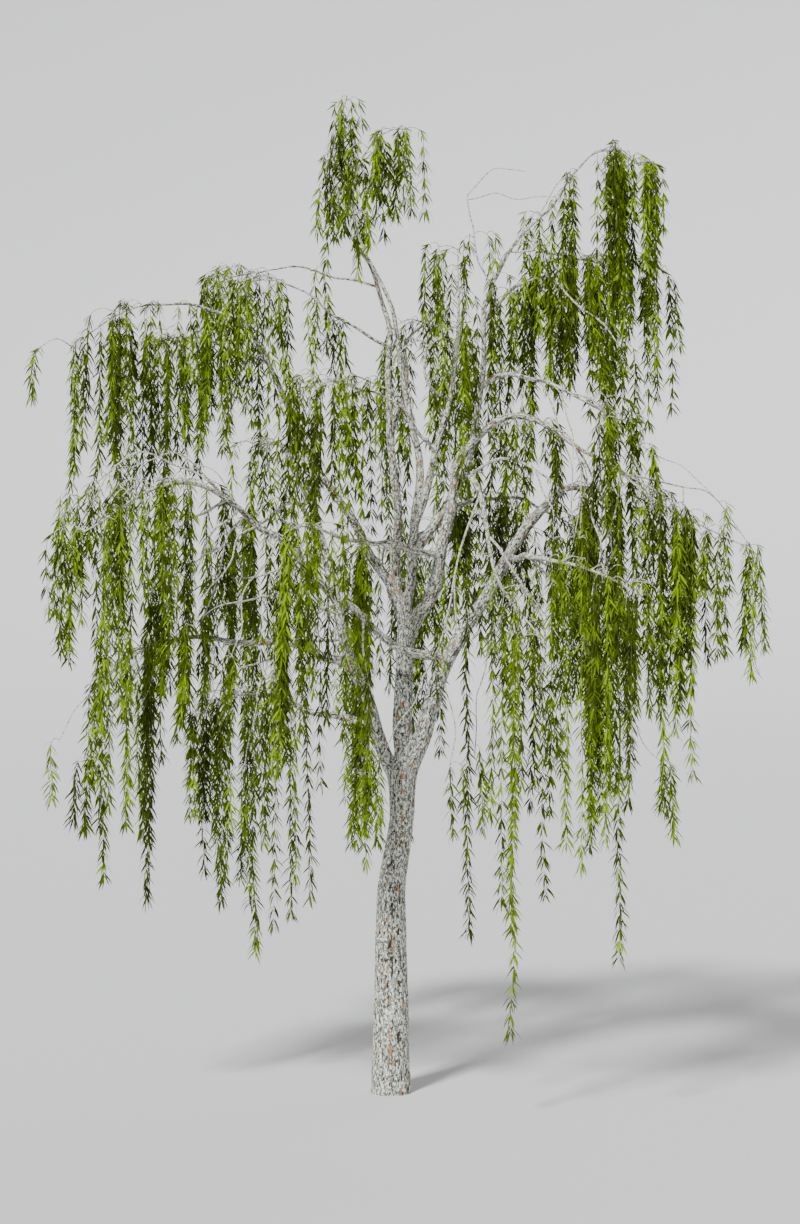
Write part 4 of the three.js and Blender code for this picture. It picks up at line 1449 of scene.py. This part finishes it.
    def hang(self, strand: Strand, stout: bool, leafy: bool, chance: np.random.Generator) -> None:
        """Hangs a twig, cut short where it would touch the trunk or a bough, and puts its leaves on.

        Args:
            strand: The twig.
            stout: True for a twig that starts stout, and False for a slim one.
            leafy: False for a bare twig.
            chance: A run of random numbers.
        """
        form = self.twig_form
        points = strand.path.points
        free = np.linalg.norm(points - points[0], axis=1) > form.held
        for i in range(2, len(points) - 1):
            step = points[i + 1] - points[i]
            length = float(np.linalg.norm(step))
            ray = self.tree.ray_cast(Vector(points[i]), Vector(step / length), length + self.clearance)
            if free[i] and ray[0]:
                points = points[: i + 1]
                break
        if len(points) < form.fewest_points:
            return
        path = Path(points)
        shares = path.marks / path.length
        thick = form.stout_radius if stout else form.slim_radius * form.slim_start
        marks = (0, max(strand.bare, form.least_bare), 1)
        radii = np.interp(shares, marks, (thick, form.slim_radius, form.tip_radius))
        side = direction(strand.heading + 90, 0)
        bare = max(2, int(np.searchsorted(shares, strand.bare))) if leafy else len(points) - 1
        self.twigs.tube(Path(points[: bare + 1]), radii[: bare + 1], form.stout_sides, side)
        if leafy:
            self.strings.tube(Path(points[bare:]), radii[bare:], form.slim_sides, side)
            self.strands += 1
            self.dress(path, strand.bare * strand.path.length, chance)

    def dress(self, path: Path, start: float, chance: np.random.Generator) -> None:
        """Puts pairs of leaves on what hangs, and deals each spray its tint.

        Args:
            path: The twig's path.
            start: How far along it the leaves begin.
            chance: A run of random numbers.
        """
        form = self.spray_form
        length = path.length - start
        bunches = round(length / mix(*form.bunches_apart, chance.random()))
        count = round(bunches * form.bunch_pairs)
        if count < 2:
            return
        bunch, within = np.divmod(np.repeat((np.arange(count) + 0.5) / count, 2) * bunches, 1)
        shares = bunch / bunches + form.bunch_length * within / length
        marks = start + shares * length + chance.uniform(-form.stray, form.stray, 2 * count)
        roots = path.at(marks / path.length)
        after = path.at((marks + form.ahead) / path.length)
        before = path.at((marks - form.ahead) / path.length)
        ahead = unit(after - before - form.downward * UP)
        around = np.repeat(chance.uniform(0, 360) + np.cumsum(chance.uniform(*form.turns, count)), 2)
        around = around + np.tile((0, 180), count) + chance.uniform(-form.twist, form.twist, 2 * count)
        around = np.radians(around)
        out = np.stack([np.cos(around), np.sin(around), np.zeros(2 * count)], axis=1)
        angle = np.radians(chance.uniform(*form.angles, 2 * count))[:, None]
        forward = unit(np.cos(angle) * ahead + np.sin(angle) * out)
        full = np.minimum(form.first_length + form.lengthening * shares, 1)
        full = full * mix(1.0, form.last_length, within)
        lengths = full * chance.uniform(*form.lengths, 2 * count)
        rolls = np.radians(chance.uniform(-form.roll, form.roll, 2 * count))[:, None]
        facing = unit(out - forward * (out * forward).sum(axis=1, keepdims=True))
        facing = facing * np.cos(rolls) + np.cross(forward, facing) * np.sin(rolls)
        clear = np.array([self.is_clear(*leaf) for leaf in zip(roots, forward, lengths)])
        dealt = self.deal(roots[0], bunches, chance)
        for i, tint in enumerate(Tint):
            chosen = clear & (dealt[bunch.astype(int)] == i)
            if chosen.any():
                self.sprays[tint].append((roots[chosen], forward[chosen], facing[chosen], lengths[chosen]))

    def deal(self, root: Points, bunches: int, chance: np.random.Generator) -> Points:
        """Deals each bunch on a twig its tint, more often a darker one near the middle of the tree, as
        painted shade.

        Args:
            root: Where the twig's first leaf grows.
            bunches: How many bunches it has.
            chance: A run of random numbers.

        Returns:
            For each bunch, its tint's place among the tints.
        """
        shade = self.shade
        outer = float(np.linalg.norm((root - shade.middle) / shade.spread))
        base = chance.choice(len(Tint), p=[tint.share for tint in Tint])
        # Painted shade: the level is lower near the middle of the tree, so twigs there more often take the
        # next darker tint.
        level = shade.level + shade.level_range * smoothstep(outer, shade.dark, shade.light)
        base = base + int(chance.random() > level)
        return np.clip(base + chance.choice(shade.strays, bunches), 0, len(Tint) - 1)

    def is_clear(self, root: Points, forward: Points, length: float) -> bool:
        """Tells whether a leaf keeps clear of the trunk and the boughs.

        Args:
            root: Where it starts.
            forward: Which way it points.
            length: How long it is.

        Returns:
            True if it does.
        """
        share = self.spray_form.middle
        middle = Vector(root + forward * length * share)
        if self.tree.find_nearest(middle, share * length + self.clearance)[0] is None:
            return True
        if self.tree.find_nearest(middle, self.clearance)[0] is not None:
            return False
        return self.tree.ray_cast(Vector(root), Vector(forward), length)[0] is None

    def leaf_pieces(self) -> list[tuple[Tint, bpy.types.Object]]:
        """Joins the leaves of each tint into as many pieces as they need.

        Returns:
            Each piece with its tint.
        """
        shape = Leaf()
        made = []
        for tint, sprays in self.sprays.items():
            columns = [np.concatenate(column) for column in zip(*sprays)]
            parts = math.ceil(len(columns[0]) / self.most_leaves)
            log.info("%s: %d leaves", tint.name.lower(), len(columns[0]))
            for part, chosen in enumerate(np.array_split(np.arange(len(columns[0])), parts)):
                store = Store()
                store.add(*shape.grown(*(column[chosen] for column in columns)))
                made.append((tint, store.piece(f"leaves_{tint.name.lower()}_{part + 1}")))
        return made


@dataclass
class Nodes:
    """A material's node tree, with short ways to add to it."""

    name: str
    material: bpy.types.Material = field(init=False)
    tree: bpy.types.NodeTree = field(init=False)
    shader: bpy.types.Node = field(init=False)

    def __post_init__(self) -> None:
        """Makes the material with its one shader."""
        self.material = bpy.data.materials.new(self.name)
        self.material.use_nodes = True
        self.tree = self.material.node_tree
        self.shader = self.tree.nodes["Principled BSDF"]

    def add(self, kind: str, **values: object) -> bpy.types.Node:
        """Adds a node.

        Args:
            kind: The node's type.
            values: Its properties, or its inputs where the name starts with in_ and a number.

        Returns:
            The node.
        """
        node = self.tree.nodes.new(kind)
        for key, value in values.items():
            if key.startswith("in_"):
                node.inputs[int(key[3:])].default_value = value
            else:
                setattr(node, key, value)
        return node

    def link(self, source: bpy.types.NodeSocket, target: bpy.types.NodeSocket) -> None:
        """Links two sockets."""
        self.tree.links.new(source, target)

    def drawn(self, place: bpy.types.NodeSocket, share: float) -> bpy.types.NodeSocket:
        """A place whose third part counts for a share, so that what lies on it is drawn out.

        Args:
            place: The place.
            share: How much its third part counts.

        Returns:
            The new place.
        """
        node = self.add("ShaderNodeMapping")
        node.inputs["Scale"].default_value = (1, 1, share)
        self.link(place, node.inputs["Vector"])
        return node.outputs[0]

    def noise(
        self, place: bpy.types.NodeSocket, scale: float, detail: float, rough: float
    ) -> bpy.types.NodeSocket:
        """A noise over a place.

        Args:
            place: Where it is read.
            scale: How many waves it has in a metre.
            detail: How many finer waves it has.
            rough: How strong those are.

        Returns:
            The noise, from 0 to 1.
        """
        node = self.add("ShaderNodeTexNoise")
        node.inputs["Scale"].default_value = scale
        node.inputs["Detail"].default_value = detail
        node.inputs["Roughness"].default_value = rough
        self.link(place, node.inputs["Vector"])
        return node.outputs["Fac"]

    def ramp(self, source: bpy.types.NodeSocket, low: float, high: float) -> bpy.types.NodeSocket:
        """Stretches a range of a value to 0 and 1.

        Args:
            source: The value.
            low: What becomes 0.
            high: What becomes 1.

        Returns:
            The stretched value.
        """
        node = self.add("ShaderNodeMapRange", in_1=low, in_2=high)
        self.link(source, node.inputs[0])
        return node.outputs[0]

    def blend(self, share: bpy.types.NodeSocket, a: object, b: object) -> bpy.types.NodeSocket:
        """Mixes two colours, each a colour or a socket.

        Args:
            share: How much of the second one there is.
            a: The first one.
            b: The second one.

        Returns:
            The mixed colour.
        """
        node = self.add("ShaderNodeMix", data_type="RGBA")
        self.link(share, node.inputs[0])
        for value, socket in ((a, node.inputs[6]), (b, node.inputs[7])):
            if isinstance(value, bpy.types.NodeSocket):
                self.link(value, socket)
            else:
                socket.default_value = (*value, 1)
        return node.outputs[2]

    def bump(self, height: bpy.types.NodeSocket, strength: float, distance: float) -> None:
        """Raises the surface by a height.

        Args:
            height: The height, from 0 to 1.
            strength: How strongly it shows, from 0 to 1.
            distance: How high 1 is, in metres.
        """
        node = self.add("ShaderNodeBump")
        node.inputs["Strength"].default_value = strength
        node.inputs["Distance"].default_value = distance
        self.link(height, node.inputs["Height"])
        self.link(node.outputs["Normal"], self.shader.inputs["Normal"])


@dataclass(frozen=True)
class Pattern:
    """A noise pattern: its waves in a metre, how many finer ones it has, and how strong those are."""

    waves: float
    detail: float
    rough: float

    def on(self, nodes: Nodes, place: bpy.types.NodeSocket) -> bpy.types.NodeSocket:
        """The pattern over a place, in a material's nodes."""
        return nodes.noise(place, self.waves, self.detail, self.rough)


@dataclass(frozen=True)
class BarkFinish:
    """Pale willow bark, flecked dark and rusty, browner on the thinner boughs.

    The flecks are drawn out along the limb. Each pair is what becomes 0 and what becomes 1, of the radius,
    of a pattern or of the grain.
    """

    pale: tuple[float, float, float] = (0.91, 0.96, 0.87)
    grey: tuple[float, float, float] = (0.048, 0.046, 0.034)
    dark: tuple[float, float, float] = (0.035, 0.028, 0.020)
    rust: tuple[float, float, float] = (0.40, 0.22, 0.105)
    brown: tuple[float, float, float] = (0.115, 0.092, 0.064)
    streak_drawn: float = 0.28
    fine_drawn: float = 0.5
    fine: Pattern = Pattern(56, 7, 0.85)
    streak: Pattern = Pattern(42, 5, 0.7)
    rusty: Pattern = Pattern(36, 3, 0.5)
    thin_radii: tuple[float, float] = (0.09, 0.02)
    pale_range: tuple[float, float] = (0.472, 0.550)
    shade_range: tuple[float, float] = (0.45, 0.38)
    rust_range: tuple[float, float] = (0.60, 0.66)
    dark_range: tuple[float, float] = (0.37, 0.33)
    furrow_range: tuple[float, float] = (0.05, -0.25)
    roughness: float = 0.88
    gloss: float = 0.25
    bump: tuple[float, float] = (0.6, 0.004)

    def build(self) -> bpy.types.Material:
        """Makes the material, which follows the bark's own place, grain and girth.

        Returns:
            The material.
        """
        nodes = Nodes("willow_bark")
        place = nodes.add("ShaderNodeAttribute", attribute_name="bark_place").outputs["Vector"]
        grain = nodes.add("ShaderNodeAttribute", attribute_name="grain").outputs["Fac"]
        stout = nodes.add("ShaderNodeAttribute", attribute_name="stout").outputs["Fac"]
        drawn = nodes.drawn(place, self.streak_drawn)
        fine = self.fine.on(nodes, nodes.drawn(place, self.fine_drawn))
        streak = self.streak.on(nodes, drawn)
        rusty = self.rusty.on(nodes, drawn)
        shade = nodes.blend(nodes.ramp(stout, *self.thin_radii), self.grey, self.brown)
        body = nodes.blend(nodes.ramp(fine, *self.pale_range), shade, self.pale)
        body = nodes.blend(nodes.ramp(streak, *self.shade_range), body, shade)
        body = nodes.blend(nodes.ramp(rusty, *self.rust_range), body, self.rust)
        body = nodes.blend(nodes.ramp(streak, *self.dark_range), body, self.dark)
        body = nodes.blend(nodes.ramp(grain, *self.furrow_range), body, self.dark)
        nodes.link(body, nodes.shader.inputs["Base Color"])
        nodes.shader.inputs["Roughness"].default_value = self.roughness
        nodes.shader.inputs["Specular IOR Level"].default_value = self.gloss
        nodes.bump(fine, *self.bump)
        return nodes.material


@dataclass(frozen=True)
class TwigFinish:
    """Thin bark, in two colours that run into each other."""

    name: str
    light: tuple[float, float, float]
    shade: tuple[float, float, float]
    spots: Pattern = Pattern(52, 4, 0.6)
    light_range: tuple[float, float] = (0.40, 0.54)
    roughness: float = 0.7
    pimples: Pattern = Pattern(160, 3, 0.6)
    bump: tuple[float, float] = (0.3, 0.001)

    def build(self) -> bpy.types.Material:
        """Makes the material.

        Returns:
            The material.
        """
        nodes = Nodes(self.name)
        place = nodes.add("ShaderNodeTexCoord").outputs["Object"]
        spots = self.spots.on(nodes, place)
        colour = nodes.blend(nodes.ramp(spots, *self.light_range), self.shade, self.light)
        nodes.link(colour, nodes.shader.inputs["Base Color"])
        nodes.shader.inputs["Roughness"].default_value = self.roughness
        nodes.bump(self.pimples.on(nodes, place), *self.bump)
        return nodes.material


THIN_BARK = TwigFinish("thin_bark", light=(0.68, 0.66, 0.57), shade=(0.12, 0.100, 0.070))
TWIG_BARK = TwigFinish("twig_bark", light=(0.24, 0.25, 0.07), shade=(0.13, 0.125, 0.04))


@dataclass(frozen=True)
class LeafFinish:
    """A willow leaf's satin face in one of the tints."""

    tint: Tint
    deeper: float = 0.72
    spots: Pattern = Pattern(11, 3, 0.6)
    spot_range: tuple[float, float] = (0.3, 0.7)
    roughness: float = 0.6
    gloss: float = 0.06
    veins: Pattern = Pattern(210, 2, 0.5)
    bump: tuple[float, float] = (0.15, 0.001)

    def build(self) -> bpy.types.Material:
        """Makes the material.

        Returns:
            The material.
        """
        nodes = Nodes(f"leaf_{self.tint.name.lower()}")
        place = nodes.add("ShaderNodeTexCoord").outputs["Object"]
        deeper = tuple(self.deeper * part for part in self.tint.colour)
        spots = self.spots.on(nodes, place)
        colour = nodes.blend(nodes.ramp(spots, *self.spot_range), deeper, self.tint.colour)
        nodes.link(colour, nodes.shader.inputs["Base Color"])
        nodes.shader.inputs["Roughness"].default_value = self.roughness
        nodes.shader.inputs["Specular IOR Level"].default_value = self.gloss
        nodes.bump(self.veins.on(nodes, place), *self.bump)
        return nodes.material


@dataclass(frozen=True)
class Lamp:
    """A lamp far away: its strength, how many degrees wide it looks, and which way it shines."""

    name: str
    energy: float
    angle: float
    way: tuple[float, float, float]


@dataclass
class Studio:
    """A pale floor that sweeps up far away, plain soft light, and the camera."""

    eye: Eye = EYE
    lens: float = 70.6
    sensor: float = 36
    clip_end: float = 500
    floor_radius: float = 60.0
    floor_sides: int = 96
    sweep: float = 40.0
    sweep_steps: int = 10
    floor_roughness: float = 0.95
    pale: tuple[float, float, float] = (0.66, 0.665, 0.67)
    sky: tuple[float, float, float] = (0.80, 0.80, 0.79)
    sky_strength: float = 0.42
    lamps: tuple[Lamp, ...] = (
        Lamp("key", 5.0, 9, (0.55, 1.0, -1.15)),
        Lamp("fill", 0.9, 50, (-0.7, -1.0, -0.7)),
    )

    def build(self) -> None:
        """Makes the floor, the lights and the camera."""
        self.floor()
        self.light()
        data = bpy.data.cameras.new("camera")
        data.lens = self.lens
        data.sensor_width = self.sensor
        data.clip_end = self.clip_end
        camera = bpy.data.objects.new("camera", data)
        camera.location = (self.eye.right, -self.eye.distance, self.eye.height)
        camera.rotation_euler = (math.pi / 2, 0, 0)
        bpy.context.scene.collection.objects.link(camera)
        bpy.context.scene.camera = camera

    def floor(self) -> None:
        """Spins the floor and its far sweep round the tree."""
        bpy.ops.mesh.primitive_circle_add(
            vertices=self.floor_sides, radius=self.floor_radius, fill_type="NGON"
        )
        floor = bpy.context.object
        floor.name = "floor"
        bpy.ops.object.mode_set(mode="EDIT")
        bpy.ops.mesh.select_all(action="SELECT")
        for i in range(1, self.sweep_steps + 1):
            a = math.pi / 2 * (i - 1) / self.sweep_steps
            b = math.pi / 2 * i / self.sweep_steps
            before = self.floor_radius + self.sweep * math.sin(a)
            after = self.floor_radius + self.sweep * math.sin(b)
            rise = self.sweep * (math.cos(a) - math.cos(b))
            if i == 1:
                bpy.ops.mesh.region_to_loop()
            bpy.ops.mesh.extrude_region_move(TRANSFORM_OT_translate={"value": (0, 0, rise)})
            bpy.ops.transform.resize(value=(after / before, after / before, 1), center_override=(0, 0, 0))
        bpy.ops.mesh.select_all(action="SELECT")
        bpy.ops.mesh.normals_make_consistent(inside=True)
        bpy.ops.object.mode_set(mode="OBJECT")
        bpy.ops.object.shade_smooth()
        nodes = Nodes("pale_floor")
        nodes.shader.inputs["Base Color"].default_value = (*self.pale, 1)
        nodes.shader.inputs["Roughness"].default_value = self.floor_roughness
        floor.data.materials.append(nodes.material)

    def light(self) -> None:
        """Hangs the lamps and a pale sky."""
        for lamp in self.lamps:
            sun = bpy.data.lights.new(lamp.name, "SUN")
            sun.energy = lamp.energy
            sun.angle = math.radians(lamp.angle)
            hung = bpy.data.objects.new(lamp.name, sun)
            hung.rotation_euler = (-Vector(lamp.way)).to_track_quat("Z", "Y").to_euler()
            bpy.context.scene.collection.objects.link(hung)
        world = bpy.data.worlds.new("studio")
        world.use_nodes = True
        background = world.node_tree.nodes["Background"]
        background.inputs["Color"].default_value = (*self.sky, 1)
        background.inputs["Strength"].default_value = self.sky_strength
        bpy.context.scene.world = world


def finished(piece: bpy.types.Object, material: bpy.types.Material, nodes: list[str]) -> None:
    """Gives a piece its material and ties it to the frame.

    Args:
        piece: The piece.
        material: Its material.
        nodes: The solids that it stands for.
    """
    piece.data.materials.clear()
    piece.data.materials.append(material)
    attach(piece, BODY)
    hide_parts(*nodes)
    log.info("%s: %d triangles", piece.name, sum(len(face.vertices) - 2 for face in piece.data.polygons))


def dress_wood(wood: Wood) -> BVHTree:
    """Makes the wood in two pieces and dresses them.

    Args:
        wood: The wood.

    Returns:
        A tree of its faces, for the foliage to keep clear of.
    """
    upper = wood.build()
    points = [vertex.co.copy() for vertex in upper.data.vertices]
    tree = BVHTree.FromPolygons(points, [tuple(face.vertices) for face in upper.data.polygons])
    bpy.ops.object.duplicate()
    lower = bpy.context.object
    cut(lower, wood.part_height, keep_above=False)
    cut(upper, wood.part_height, keep_above=True)
    material = BarkFinish().build()
    for piece, name, above in ((lower, "trunk_and_lower_boughs", False), (upper, "upper_boughs", True)):
        piece.name = name
        bpy.ops.object.select_all(action="DESELECT")
        piece.select_set(True)
        bpy.context.view_layer.objects.active = piece
        bpy.ops.object.shade_smooth_by_angle(angle=math.radians(wood.smooth_angle))
        finished(piece, material, wood.skeleton.reaching(wood.part_height, above))
    return tree


def main() -> None:
    """Builds the willow and its studio."""
    logging.basicConfig(level=logging.INFO, format="%(name)s: %(message)s")
    bpy.ops.object.select_all(action="DESELECT")
    skeleton = Skeleton()
    tree = dress_wood(Wood(skeleton))
    foliage = Foliage(skeleton, tree)
    log.info("%d strands", foliage.strands)
    curtains = list(CURTAINS)
    thin_bark = THIN_BARK.build()
    twig_bark = TWIG_BARK.build()
    finished(foliage.stems.piece("curtain_stems"), thin_bark, curtains)
    finished(foliage.twigs.piece("arching_twigs"), thin_bark, curtains)
    finished(foliage.strings.piece("hanging_twigs"), twig_bark, curtains)
    finishes = {tint: LeafFinish(tint).build() for tint in Tint}
    for tint, piece in foliage.leaf_pieces():
        finished(piece, finishes[tint], curtains)
    Studio().build()


if __name__ == "__main__":
    main()
